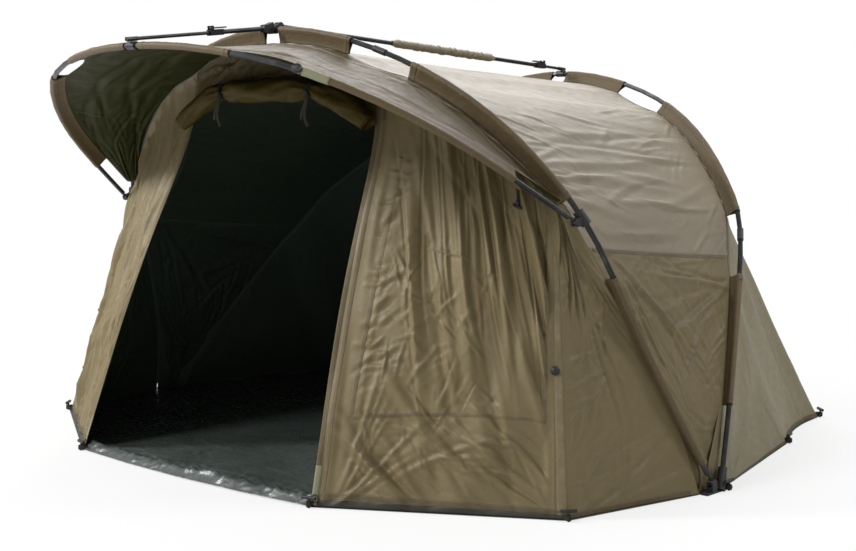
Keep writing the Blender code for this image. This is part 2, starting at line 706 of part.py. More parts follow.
def pivot_block():
    """A ground block: a foot plate, two cheeks with the middle hoop's pin, and the rear hoop's socket."""
    half_inner = EYE_WIDTH / 2 + FIT
    half_outer = half_inner + CHEEK_THICKNESS
    pivot = Vector((HALF_SPAN, PIVOT_Y - FOOT_SPREAD / 2, PIVOT_Z))
    socket = Vector((HALF_SPAN, PIVOT_Y + FOOT_SPREAD / 2, PIVOT_Z))
    here = frame_at((HALF_SPAN, PIVOT_Y, 0.0))
    half_wide = CHEEK_RADIUS
    half_long = BLOCK_LENGTH / 2
    plate = box("block_plate", (-half_wide, -half_long, 0.0), (half_wide, half_long, PLATE), here)
    cheek_low = (-half_outer, -FOOT_SPREAD / 2 - CHEEK_RADIUS, PLATE / 2)
    cheek_high = (half_outer, -FOOT_SPREAD / 2 + CHEEK_RADIUS, PIVOT_Z)
    cheeks = box("block_cheeks", cheek_low, cheek_high, here)
    half = Vector((half_outer, 0.0, 0.0))
    crown = rod("block_crown", pivot - half, pivot + half, CHEEK_RADIUS)
    direction = (REAR.world(1) - REAR.world(0)).normalized()
    column = rod("block_column", socket - direction * (PIVOT_Z / direction.z - PLATE / 2),
                 socket + direction * SOCKET_DEPTH, SOCKET_RADIUS)
    floor_cut = box("block_floor", (-BLOCK_LENGTH, -BLOCK_LENGTH, -BLOCK_LENGTH),
                    (BLOCK_LENGTH, BLOCK_LENGTH, 0.0), here)
    cheek_y = -FOOT_SPREAD / 2
    slot_low = (-half_inner, cheek_y - CHEEK_RADIUS - OVERRUN, PIVOT_Z - EYE_RADIUS - 4 * FIT)
    slot_high = (half_inner, cheek_y + CHEEK_RADIUS + OVERRUN / 4, PIVOT_Z + CHEEK_RADIUS + OVERRUN)
    slot = box("block_slot", slot_low, slot_high, here)
    inner_half = Vector((half_inner + CHEEK_THICKNESS / 2, 0.0, 0.0))
    pin = rod("block_pin", pivot - inner_half, pivot + inner_half, PIN_RADIUS)
    bore = rod("block_bore", socket + direction * (BLOCK_TOP - 2 * FIT),
               socket + direction * (SOCKET_DEPTH + OVERRUN), RIB_RADIUS + FIT)
    solid = assemble("pivot_block_right", plate, [cheeks, crown, column], [slot, floor_cut, bore])
    whole = solid
    whole.name = "block_base"
    made = assemble("pivot_block_right", whole, [pin])
    mirrored(made, "pivot_block_left")


def junction_block():
    """A clamp on the middle hoop whose forked lug carries the peak hoop's pin."""
    centre = MIDDLE.world(JUNCTION_INDEX)
    along = (MIDDLE.frame.to_3x3() @ MIDDLE.tangent(JUNCTION_INDEX)).normalized()
    half = along * (CLAMP_LENGTH / 2)
    clamp = rod("junction_clamp", centre - half, centre + half, CLAMP_RADIUS)
    half_inner = EYE_WIDTH / 2 + FIT
    half_outer = half_inner + CHEEK_THICKNESS
    here = MIDDLE.frame @ Matrix.Translation((JUNCTION_SPAN, JUNCTION_RISE, 0.0))
    lug_half = CHEEK_RADIUS * 3 / 4
    lug_wide = half_outer - FIT
    lug = box("junction_lug", (-lug_wide, -lug_half, 0.0), (lug_wide, lug_half, JUNCTION_REACH), here)
    pivot = here @ Vector((0.0, 0.0, JUNCTION_REACH))
    across = Vector((half_outer, 0.0, 0.0))
    crown = rod("junction_crown", pivot - across, pivot + across, CHEEK_RADIUS)
    slot_low = (-half_inner, -CHEEK_RADIUS - OVERRUN, JUNCTION_REACH - EYE_RADIUS - 4 * FIT)
    slot_high = (half_inner, CHEEK_RADIUS + OVERRUN, JUNCTION_REACH + CHEEK_RADIUS + OVERRUN)
    slot = box("junction_slot", slot_low, slot_high, here)
    bore = hoop_bore("junction_bore", MIDDLE, JUNCTION_INDEX - 1, JUNCTION_INDEX + 1)
    whole = assemble("junction_base", clamp, [lug, crown], [slot, bore])
    inner_half = Vector((half_inner + CHEEK_THICKNESS / 2, 0.0, 0.0))
    pin = rod("junction_pin", pivot - inner_half, pivot + inner_half, PIN_RADIUS)
    made = assemble("junction_block_right", whole, [pin], parent=MIDDLE.empty)
    mirrored(made, "junction_block_left")


# Ridge bars

def top_clamp(name, hoop):
    """A ring clamp round the bare tube at the top of a hoop."""
    top = Vector((0.0, hoop.points[hoop.half].y, 0.0))
    half = Vector((HUB_HALF_WIDTH, 0.0, 0.0))
    ring = rod(name + "_ring", hoop.frame @ (top - half), hoop.frame @ (top + half), TOP_CLAMP_RADIUS)
    bore = hoop_bore(name + "_bore", hoop, hoop.half - 1, hoop.half + 1)
    here = hoop.frame @ Matrix.Translation(top)
    return ring, bore, here


def hub():
    """The middle hoop's top clamp, forked fore and aft for the two ridge bars."""
    ring, bore, here = top_clamp("hub", MIDDLE)
    half_inner = EYE_WIDTH / 2 + FIT
    half_outer = half_inner + CHEEK_THICKNESS
    joined = []
    slots = []
    pins = []
    for reach, rise in ((HUB_REACH, FRONT_RISE), (-HUB_REACH, BACK_RISE)):
        low_z, high_z = sorted((-math.copysign(DECK_LAP, reach), reach))
        deck_half = CHEEK_RADIUS * 3 / 4
        deck_wide = half_outer if reach > 0 else half_outer - FIT
        joined.append(box("hub_deck", (-deck_wide, rise - deck_half, low_z),
                          (deck_wide, rise + deck_half, high_z), here))
        pivot = here @ Vector((0.0, rise, reach))
        across = Vector((half_outer, 0.0, 0.0))
        joined.append(rod("hub_crown", pivot - across, pivot + across, CHEEK_RADIUS))
        near = HUB_REACH - EYE_RADIUS - 4 * FIT
        far = HUB_REACH + CHEEK_RADIUS + OVERRUN
        low_z, high_z = (near, far) if reach > 0 else (-far, -near)
        slots.append(box("hub_slot", (-half_inner, -CLAMP_LENGTH, low_z),
                         (half_inner, CLAMP_LENGTH * 2, high_z), here))
        inner_half = Vector((half_inner + CHEEK_THICKNESS / 2, 0.0, 0.0))
        pins.append(rod("hub_pin", pivot - inner_half, pivot + inner_half, PIN_RADIUS))
    whole = assemble("hub_base", ring, joined, slots + [bore])
    return assemble("ridge_hub", whole, pins, parent=MIDDLE.empty)


def bar_line(reach, rise, target_hoop):
    """Where a ridge bar starts, its direction, and its length to the clamp that it rests on."""
    start = MIDDLE.frame @ Vector((0.0, MIDDLE.points[STATIONS].y + rise, reach))
    target = target_hoop.world(target_hoop.half)
    gap = TOP_CLAMP_RADIUS + FIT + BAR_FOOT_RADIUS
    distance = (target - start).length
    base = math.atan2(target.z - start.z, target.y - start.y)
    lift = math.asin(gap / distance)
    angle = base + lift if reach < 0 else base - lift
    direction = Vector((0.0, math.cos(angle), math.sin(angle)))
    return start, direction, math.sqrt(distance ** 2 - gap ** 2)


def bar_frame(start, direction):
    """A frame whose Y runs along the bar and whose Z points up and square to it."""
    upward = Vector((1.0, 0.0, 0.0)).cross(direction)
    if upward.z < 0:
        upward = -upward
    across = direction.cross(upward)
    turn = Matrix((across, direction, upward)).transposed().to_4x4()
    return Matrix.Translation(start) @ turn


def ridge_bar(name, reach, rise, target_hoop, cam_share):
    start, direction, length = bar_line(reach, rise, target_hoop)
    pivot = bpy.data.objects.new(name + "_axis", None)
    link(pivot)
    pivot.matrix_world = bar_frame(start, direction)
    bpy.context.view_layer.update()
    here = pivot.matrix_world.copy()
    outer_end = cam_share * length

    def at(along, x=0.0, up=0.0):
        return here @ Vector((x, along, up))

    wide, long, high = HOUSING
    tube = rod(name + "_tube", at(NECK - ROUNDING), at(outer_end), BAR_RADIUS, paint=TUBE)
    pieces, pin_hole = eye_fitting(name, start, direction)
    housing = box(name + "_housing", (-wide / 2, outer_end - long, -high / 2),
                  (wide / 2, outer_end, high / 2), here)
    lug_height = high / 2 + LEVER[2] + 4 * LEVER_PIN_RADIUS
    lever_y = outer_end - LEVER_LUG * 3
    lever_z = high / 2 + LEVER[2] / 2 + LEVER_PIN_RADIUS
    lug_half = LEVER_PIN_RADIUS + LEVER_LUG
    lug_inner = LEVER[0] / 2 + FIT
    lugs = []
    for side in (1, -1):
        low_x, high_x = sorted((side * lug_inner, side * (lug_inner + LEVER_LUG)))
        lugs.append(box(name + "_lug", (low_x, lever_y - lug_half, high / 4),
                        (high_x, lever_y + lug_half, lug_height - LEVER_PIN_RADIUS), here))
    lug_far = lug_inner + LEVER_LUG + OVERRUN
    lever_hole = rod(name + "_lever_hole", at(lever_y, -lug_far, lever_z),
                     at(lever_y, lug_far, lever_z), LEVER_PIN_RADIUS + FIT, sides=12)
    slide_start = NECK + 2 * OVERRUN + BAR_FOOT_RADIUS
    bore = rod(name + "_bore", at(slide_start), at(outer_end + OVERRUN), BAR_INNER_RADIUS + FIT)
    assemble(name + "_outer", tube, pieces + [housing] + lugs, [pin_hole, lever_hole, bore], pivot)

    inner_start = outer_end - BAR_OVERLAP - long
    inner = rod(name + "_rod", at(inner_start), at(length), BAR_INNER_RADIUS, paint=TUBE)
    half_foot = BAR_FOOT_LENGTH / 2
    foot = rod(name + "_foot", at(length - half_foot), at(length + half_foot), BAR_FOOT_RADIUS)
    assemble(name + "_inner", inner, [foot], parent=pivot)

    lever_wide, lever_long, lever_thick = LEVER
    half_thick = lever_thick / 2
    blade = box(name + "_blade", (-lever_wide / 2, lever_y - lever_long, lever_z - half_thick),
                (lever_wide / 2, lever_y, lever_z + half_thick), here)
    lever_reach = lug_inner + LEVER_LUG
    lever_pin = rod(name + "_lever_pin", at(lever_y, -lever_reach, lever_z),
                    at(lever_y, lever_reach, lever_z), LEVER_PIN_RADIUS, sides=12)
    barrel = rod(name + "_barrel", at(lever_y, -lever_wide / 2, lever_z),
                 at(lever_y, lever_wide / 2, lever_z), half_thick + LEVER_PIN_RADIUS / 2, sides=12)
    assemble(name + "_cam_lever", blade, [barrel, lever_pin], parent=pivot)
    return pivot, length


def bar_wrap(pivot, length):
    """The gathered fabric wrap round the rear bar's outer tube."""
    start = WRAP_SHARES[0] * length
    end = WRAP_SHARES[1] * length
    rows = []
    for k in range(WRAP_RINGS + 1):
        along = start + (end - start) * k / WRAP_RINGS
        radius = WRAP_RADIUS if k % 2 else WRAP_RADIUS - FABRIC
        if k in (0, WRAP_RINGS):
            radius = (BAR_RADIUS + FIT + FABRIC) / math.cos(math.pi / WRAP_SIDES)
        ring = []
        for j in range(WRAP_SIDES):
            angle = math.tau * j / WRAP_SIDES
            spot = Vector((radius * math.cos(angle), along, radius * math.sin(angle)))
            ring.append(pivot.matrix_world @ spot)
        rows.append(ring)
    skin("rear_bar_wrap", rows, SLEEVE, pivot, wrap=True, offset=1.0, thickness=FABRIC)


# Canopy panels

def seam_draw(station):
    """How far a panel's edge is drawn back from the seam at a station, in stations."""
    k = whole_index(station, STATIONS)
    return SEAM_DRAW * EDGE_GAP / (MIDDLE.lengths[k + 1] - MIDDLE.lengths[k])


def seam_indices(first, last):
    """Stations first to last, drawn in a little at both ends so that the next panel clears."""
    inner = list(range(first + 1, last))
    return [first + seam_draw(first)] + inner + [last - seam_draw(last)]


def roof_panel():
    last = 2 * STATIONS
    places = seam_indices(SEAM_STATION, last - SEAM_STATION)
    front = edge_of(MIDDLE, places, True)
    back = edge_of(REAR, places, False)
    skin("roof_panel", loft(front, back, 7), CANOPY)


def hood_panel():
    last = 2 * STATIONS
    first = JUNCTION_STATION + 1
    back_places = [first - HOOD_START] + list(range(first, last - first + 1)) + [last - first + HOOD_START]
    back = [beside(MIDDLE, k, False, 3 * FIT) for k in back_places]
    setback = WEB_HIGH + 2 * FIT
    front = []
    for k in back_places:
        place = k - JUNCTION_STATION
        front.append(PEAK.world(place) + lie(PEAK, place)[1] * setback)
    skin("hood_panel", loft(front, back, 5), CANOPY)


def side_panels():
    places = [SIDE_LOW] + seam_indices(0, SEAM_STATION)[1:]
    inner_x = HALF_SPAN - SOCKET_RADIUS - SHEET_LIP
    half_block = BLOCK_LENGTH / 2
    ground = SHEET + FIT
    front = [Vector((inner_x, PIVOT_Y - half_block, ground))] + edge_of(MIDDLE, places, True)
    back = [Vector((inner_x, PIVOT_Y + half_block, ground))] + edge_of(REAR, places, False)
    made = skin("side_panel_right", loft(front, back, 5), WALL)
    mirrored_skin(made, "side_panel_left")


def mirrored_skin(obj, name):
    twin = mirrored(obj, name)
    solid = twin.modifiers.new("thickness", "SOLIDIFY")
    solid.thickness = obj.modifiers[0].thickness
    solid.offset = obj.modifiers[0].offset
    return twin


def corner_foot(toward_side):
    """The corner's foot, moved a little along the hem so that the two panels there clear."""
    corner = Vector((*CORNER_FOOT, SHEET + FIT))
    target = Vector((*toward_side, SHEET + FIT))
    return corner + (target - corner).normalized() * EDGE_GAP


def block_front():
    return (HALF_SPAN - CHEEK_RADIUS, PIVOT_Y - BLOCK_LENGTH / 2 - SHEET_LIP)


def corner_panels():
    """The triangle between the corner seam and the middle hoop's lower sleeve."""
    count = JUNCTION_STATION
    hoop_edge = edge_of(MIDDLE, range(1, count + 1), False)
    hoop_edge[0] = Vector((*block_front(), SHEET + FIT))
    top = Vector(CORNER_TOP) + Vector((0.0, EDGE_GAP, 0.0))
    foot = corner_foot(block_front())
    corner_edge = [between(foot, top, k / (count - 1)) for k in range(count)]
    made = skin("corner_panel_right", loft(corner_edge, hoop_edge, 6), WALL)
    mirrored_skin(made, "corner_panel_left")


def wall_top(share):
    """The front wall's upper edge, from the corner seam's top along the middle hoop to the door."""
    places = range(JUNCTION_STATION + 1, DOOR_STATION + 1)
    under_hoop = [under_hood(k) for k in places]
    edge = [Vector(CORNER_TOP) - Vector((0.0, EDGE_GAP, 0.0))] + under_hoop
    spot = share * (len(edge) - 1)
    low = min(int(spot), len(edge) - 2)
    return edge[low].lerp(edge[low + 1], spot - low)


def wall_foot(share):
    return hem_point(CORNER_FOOT, DOOR_FOOT, share, 0.0) + (
        Vector((*DOOR_FOOT, 0.0)) - Vector((*CORNER_FOOT, 0.0))).normalized() * (EDGE_GAP * (1 - share))


def fold(across, down):
    """Depth of the hanging folds, which fade out at the wall's edges."""
    fade = math.sin(math.pi * across) ** 0.5 * math.sin(math.pi * min(down * 1.15, 1.0)) ** 0.7
    waves = 0.0
    for count, slant, share in FOLD_COUNT_SHARES:
        waves += share * math.sin(math.tau * (count * across + slant * down))
    return FOLD_DEPTH * fade * waves


def wall_bow(down):
    """How far the wall lies behind a straight line, most of it close under the hoop."""
    return WALL_BOW * down * (1 - down) ** 5


def front_walls():
    outward = Vector((DOOR_FOOT[1] - CORNER_FOOT[1], CORNER_FOOT[0] - DOOR_FOOT[0], 0.0)).normalized()
    rows = []
    for r in range(WALL_ROWS):
        down = r / (WALL_ROWS - 1)
        row = []
        for c in range(WALL_COLUMNS):
            across = c / (WALL_COLUMNS - 1)
            point = between(wall_top(across), wall_foot(across), down)
            back = Vector((0.0, wall_bow(down) * across, 0.0))
            row.append(point + back - outward * fold(across, down))
        rows.append(row)
    made = skin("front_wall_right", rows, WALL)
    mirrored_skin(made, "front_wall_left")


def door_ruling(index):
    """The line from the middle hoop's underside to the ground that the door closes against."""
    top = under_hood(index)
    share = (STATIONS - index) / (STATIONS - DOOR_STATION)
    foot = Vector((DOOR_FOOT[0] * share, DOOR_FOOT[1], SHEET + FIT))
    return top, foot


def on_ruling(top, foot, down):
    return between(top, foot, down) + Vector((0.0, wall_bow(down), 0.0))


def door_top_height(index):
    share = (STATIONS - index) / (STATIONS - DOOR_STATION)
    return DOOR_TOP_MIDDLE + (DOOR_TOP_SIDE - DOOR_TOP_MIDDLE) * abs(share) ** DOOR_TOP_BOW


def door_header():
    last = 2 * STATIONS
    rows = [[] for _ in range(HEADER_ROWS)]
    for index in seam_indices(DOOR_STATION, last - DOOR_STATION):
        top, foot = door_ruling(index)
        share = (top.z - door_top_height(index)) / (top.z - foot.z)
        for k, row in enumerate(rows):
            row.append(on_ruling(top, foot, share * k / (HEADER_ROWS - 1)))
    skin("door_header", rows, WALL)


def rolled_door():
    """The rolled-up door, tied under the header: a soft roll of slightly uneven thickness."""
    curve = bpy.data.curves.new("rolled_door", "CURVE")
    curve.dimensions = "3D"
    curve.bevel_depth = ROLL_RADIUS
    curve.bevel_resolution = 3
    curve.use_fill_caps = True
    spline = curve.splines.new("POLY")
    spline.points.add(ROLL_POINTS - 1)
    for k, point in enumerate(spline.points):
        share = 2 * k / (ROLL_POINTS - 1) - 1
        index = STATIONS - share * (STATIONS - DOOR_STATION) * ROLL_HALF_SPAN / MIDDLE.local(DOOR_STATION).x
        top, foot = door_ruling(index)
        along = (foot - top).normalized()
        outward = along.cross(Vector((1.0, 0.0, 0.0))).normalized()
        if outward.y > 0:
            outward = -outward
        sag = ROLL_SAG * max(0.0, 1 - (2 * share) ** 2)
        drop = (top.z - door_top_height(index) + sag) / (top.z - foot.z)
        centre = on_ruling(top, foot, drop) + outward * (ROLL_RADIUS * ROLL_SEAT + FABRIC)
        unevenness = 1 + 0.10 * math.sin(5.0 * math.pi * share) - 0.06 * math.cos(11.0 * math.pi * share)
        ends = 1 - 0.35 * abs(share) ** 6
        point.co = (*centre, 1.0)
        point.radius = unevenness * ends * 0.95
    curve.materials.append(ROLL_CLOTH)
    tube = bpy.data.objects.new("rolled_door_tube", curve)
    link(tube, CUTTERS)
    return solid_from("rolled_door", tube)


def rear_wall():
    last = 2 * STATIONS
    hoop_edge = edge_of(REAR, range(1, last), True)
    skin("rear_wall", loft(hoop_edge, REAR_HEM_ROUND, 7), CANOPY)


def sheet_outline():
    """The groundsheet's right-hand outline, from the front middle to the back middle."""
    block_edge = HALF_SPAN - CHEEK_RADIUS - FIT
    half_block = BLOCK_LENGTH / 2
    door_x, door_y = DOOR_FOOT
    front = [(0.0, door_y - SHEET_LIP - SHEET_BOW),
             (door_x / 2, door_y - SHEET_LIP - SHEET_BOW * 3 / 4),
             (door_x, door_y - SHEET_LIP),
             (CORNER_FOOT[0] + SHEET_LIP, CORNER_FOOT[1] - SHEET_LIP),
             (block_edge, PIVOT_Y - half_block - 2 * SHEET_LIP),
             (block_edge, PIVOT_Y + half_block + 2 * SHEET_LIP)]
    back = [(p.x + SHEET_LIP, p.y) for p in REAR_HEM[SIDE_FOOT_STATION - 1:REAR_FOOT_STATION]]
    tail = [(p.x, p.y + SHEET_LIP) for p in REAR_HEM[REAR_FOOT_STATION - 1:]]
    return front + back + tail


def groundsheet():
    right = sheet_outline()
    whole = right + [(-x, y) for x, y in right[-2:0:-1]]
    curve = bpy.data.curves.new("groundsheet", "CURVE")
    curve.dimensions = "2D"
    curve.fill_mode = "BOTH"
    curve.extrude = SHEET / 2
    spline = curve.splines.new("POLY")
    spline.points.add(len(whole) - 1)
    for point, (x, y) in zip(spline.points, whole):
        point.co = (x, y, 0.0, 1.0)
    spline.use_cyclic_u = True
    curve.materials.append(SHEETING)
    flat = bpy.data.objects.new("groundsheet_outline", curve)
    link(flat, CUTTERS)
    flat.location = (0.0, 0.0, SHEET / 2)
    solid_from("groundsheet", flat)


# Pegs

def distance_to_outline(point, outline):
    """The distance from a point to the nearest edge of the groundsheet."""
    nearest = HALF_SPAN
    for a, b in zip(outline, outline[1:]):
        a = Vector(a)
        edge = Vector(b) - a
        share = max(0.0, min(1.0, (point - a).dot(edge) / edge.length_squared))
        nearest = min(nearest, (point - a - edge * share).length)
    return nearest


def beside_sheet(place, outward):
    """Moves a peg out from its hem point until its shaft only just clears the groundsheet."""
    outline = sheet_outline()
    step = FIT / 2
    point = Vector(place) + outward * SHEET_LIP
    while distance_to_outline(point, outline) < PEG_RADIUS + FIT:
        point += outward * step
    return point


def peg(name, place, outward):
    """A T-headed peg standing in the ground."""
    centre = Vector((*place, 0.0))
    top = centre + Vector((0.0, 0.0, PEG_HEIGHT))
    shaft = rod(name + "_shaft", centre, top, PEG_RADIUS, sides=12, paint=PEG)
    half = Vector((outward.y, -outward.x, 0.0)) * (PEG_HEAD_LENGTH / 2)
    head = rod(name + "_head", top - half, top + half, PEG_HEAD_RADIUS, sides=12, paint=PEG)
    return assemble(name, shaft, [head])


def pegs():
    table = (("door", DOOR_FOOT, -75.0), ("corner", CORNER_FOOT, -40.0), ("side", SIDE_FOOT, 15.0),
             ("rear", REAR_FOOT, 50.0))
    for place_name, hem_place, facing in table:
        outward = Vector((math.cos(math.radians(facing)), math.sin(math.radians(facing))))
        place = beside_sheet(hem_place, outward)
        mirrored(peg(f"peg_{place_name}_right", place, outward), f"peg_{place_name}_left")
    block_place = (HALF_SPAN + SOCKET_RADIUS + PEG_HEAD_RADIUS + COLUMN_SPLAY, PIVOT_Y + BLOCK_LENGTH / 4)
    block_peg = peg("peg_block_right", block_place, Vector((1.0, 0.0)))
    mirrored(block_peg, "peg_block_left")


def build():
    rib("rear_rib", REAR, eyes=False)
    rib("middle_rib", MIDDLE, eyes=True)
    rib("peak_rib", PEAK, eyes=True)
    collar("middle_collar_right", MIDDLE, MIDDLE_COLLAR_SHARE)
    collar("rear_collar_right", REAR, REAR_COLLAR_SHARE)
    sleeves("rear", REAR, REAR_SLEEVE_SHARES)
    sleeves("middle", MIDDLE, middle_sleeve_table())
    sleeves("peak", PEAK, PEAK_SLEEVE_SHARES)
    pivot_block()
    junction_block()
    hub()
    for name, hoop in (("peak_clamp", PEAK), ("rear_clamp", REAR)):
        ring, bore, _ = top_clamp(name, hoop)
        assemble(name, ring, cut=[bore], parent=hoop.empty)
    ridge_bar("front_bar", HUB_REACH, FRONT_RISE, PEAK, FRONT_CAM_SHARE)
    rear_pivot, rear_length = ridge_bar("rear_bar", -HUB_REACH, BACK_RISE, REAR, REAR_CAM_SHARE)
    bar_wrap(rear_pivot, rear_length)
    roof_panel()
    hood_panel()
    side_panels()
    corner_panels()
    front_walls()
    door_header()
    rolled_door()
    rear_wall()
    groundsheet()
    pegs()


build()
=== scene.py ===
"""Dresses the pram-hood bivvy tent: sewn cloth over its folding frame, with light, floor and camera."""

import math

import bmesh
import bpy
import numpy as np
from mathutils import Matrix, Vector


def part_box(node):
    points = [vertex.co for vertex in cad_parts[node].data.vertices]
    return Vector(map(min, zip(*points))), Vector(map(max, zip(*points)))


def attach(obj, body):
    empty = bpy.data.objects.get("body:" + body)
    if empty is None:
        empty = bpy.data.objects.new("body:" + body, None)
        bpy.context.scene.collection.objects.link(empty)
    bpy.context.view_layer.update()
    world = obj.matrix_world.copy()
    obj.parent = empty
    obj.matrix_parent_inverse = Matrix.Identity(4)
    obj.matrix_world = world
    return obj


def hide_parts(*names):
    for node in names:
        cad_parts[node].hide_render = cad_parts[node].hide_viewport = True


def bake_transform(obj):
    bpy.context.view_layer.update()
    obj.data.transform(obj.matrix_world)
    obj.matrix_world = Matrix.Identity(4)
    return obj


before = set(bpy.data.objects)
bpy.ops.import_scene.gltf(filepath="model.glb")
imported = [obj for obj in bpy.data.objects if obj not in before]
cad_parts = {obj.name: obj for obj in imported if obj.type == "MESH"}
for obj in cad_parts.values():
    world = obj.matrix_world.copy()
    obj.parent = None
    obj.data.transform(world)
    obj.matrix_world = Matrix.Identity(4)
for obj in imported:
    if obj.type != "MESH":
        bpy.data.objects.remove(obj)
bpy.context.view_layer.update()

# The frame's driving sizes, the same as in the part's source
HALF_SPAN = 1.500
PIVOT_Y = -0.0905
PIVOT_Z = 0.034
FOOT_SPREAD = 0.060
REAR_LEAN = math.radians(54.0)
REAR_HEIGHT = 1.770
MIDDLE_LEAN = math.radians(112.0)
MIDDLE_HEIGHT = 1.673
PEAK_LEAN = math.radians(145.8)
PEAK_HEIGHT = 1.032
JUNCTION_RISE = MIDDLE_HEIGHT * .58398
JUNCTION_REACH = 0.036
MIDDLE_SHARES = ((0, 1), (.21, .978), (.40, .922), (.56, .843), (.68, .750), (.76, .660),
                 (.815, .575), (.85, .480), (.885, .350), (.93, .205), (1, 0))
REAR_SHARES = ((0, 1), (.20, .975), (.40, .910), (.57, .810), (.70, .695), (.785, .595),
               (.835, .490), (.88, .365), (.94, .190), (1, 0))
PEAK_SHARES = ((0, 1), (.25, .972), (.42, .914), (.55, .842), (.66, .742), (.76, .617),
               (.835, .490), (.91, .300), (1, 0))
STATIONS = 24
SEAM_STATION = 8
JUNCTION_STATION = 10
DOOR_STATION = 19
BEND_WEIGHT = 0.25
OUTLINE_SAMPLES = 1201
DOOR_FOOT = (HALF_SPAN * .4227, -1.170)
CORNER_FOOT = (HALF_SPAN * .9033, -0.735)
SIDE_FOOT = (HALF_SPAN * .8613, 0.762)
REAR_FOOT = (HALF_SPAN * .7547, 1.317)
BACK_FOOT_Y = 1.300
SIDE_FOOT_STATION = 9
REAR_FOOT_STATION = 15
HEM_SAG = 0.035
CORNER_TOP = (HALF_SPAN * .7733, -0.545, MIDDLE_HEIGHT * .5290)
BLOCK_LENGTH = 0.160
CHEEK_RADIUS = 0.0145
SOCKET_RADIUS = 0.0165
SLEEVE_RADIUS = 0.0121
WEB_LOW = 0.020
WEB_HIGH = 0.048
WEB_RAMP = 14
WEB_HALF = 0.0025
SIDE_LOW = 0.55
HOOD_START = 0.5
SHEET_LIP = 0.006
SHEET_BOW = 0.035
WALL_AHEAD = 0.004
WALL_BOW = 0.90
DOOR_TOP_SIDE = MIDDLE_HEIGHT * .7382
DOOR_TOP_MIDDLE = MIDDLE_HEIGHT * .8201
DOOR_TOP_BOW = 2.6
ROLL_RADIUS = 0.042
ROLL_HALF_SPAN = HALF_SPAN * .3333
MIDDLE_SLEEVE_SHARES = (("lower", .030, .318), ("upper", .440, .732), ("centre", .842, .984))
REAR_SLEEVE_SHARES = (("lower", .115, .330), ("upper", .448, .742), ("centre", .849, .984))
PEAK_SLEEVE_SHARES = (("side", .155, .606), ("centre", .745, .978))
HUB_REACH = 0.034
BACK_RISE = 0.003
TOP_CLAMP_RADIUS = 0.0142
BAR_RADIUS = 0.0086
BAR_FOOT_RADIUS = 0.0078
WRAP_SHARES = (.350, .720)

# Where on the frame the canopy hangs
STANDING = "standing_frame"
MIDDLE_BODY = "middle_frame"
PEAK_BODY = "peak_frame"
REAR_BAR_BODY = "rear_bar"
MIDDLE_DRAW = 0.012        # how far the canopy's edge is drawn in where a tube runs bare
REAR_DRAW = 0.016
PEAK_DRAW = 0.030

# The cloth
CLOTH = 0.0008             # thickness of the coated fabric
CLOTH_STEP = 0.0075        # of the cloth's mesh
CANOPY_DEPTH = 0.0012      # of the canopy's outer face below a web's seam
GROUND = 0.0023            # where the hems rest, on the groundsheet
FADE = 0.030               # over this much, creases fade out towards a seam
TINY = 1e-12               # keeps a division from nought
ROOF_SAG = 0.012
HOOD_SAG = 0.010
SIDE_SAG = 0.006
CORNER_SAG = 0.004
REAR_SAG = 0.010
ROOF_ROWS = 200
HOOD_ROWS = 110
SIDE_ROWS = 120
CORNER_ROWS = 100
WALL_ROWS = 300
WALL_COLUMNS = 230
WALL_TOP_POINTS = 10
HEADER_ROWS = 44
HEADER_COLUMNS = 170
REAR_ROWS = 130
REAR_COLUMNS = 330
CORNER_TOP_STATION = JUNCTION_STATION + 0.55   # of the middle hoop, where the corner panel ends
CORNER_TOP_LIFT = Vector((0.0, 0.0, 0.055))    # from the corner seam's top to the panel's
RIGHT = (1.0, 0.0, 0.0)
BACK = (0.0, 1.0, 0.0)
FRONT = (0.0, -1.0, 0.0)
UP = (0.0, 0.0, 1.0)
WALL_FRONT = (0.4, -1.0, 0.0)
STRIP_WIDTH = 0.078        # of the smooth strip beside the corner seam
GATHER_START = 0.020       # from the corner seam, where the left wall's folds begin to deepen
GATHER_WIDTH = 0.30
GATHER_LEAST = 0.30        # share of their depth beside the seam


class Metres(float):
    """A place on a sheet in metres instead of a share; below nought it counts from the far edge."""


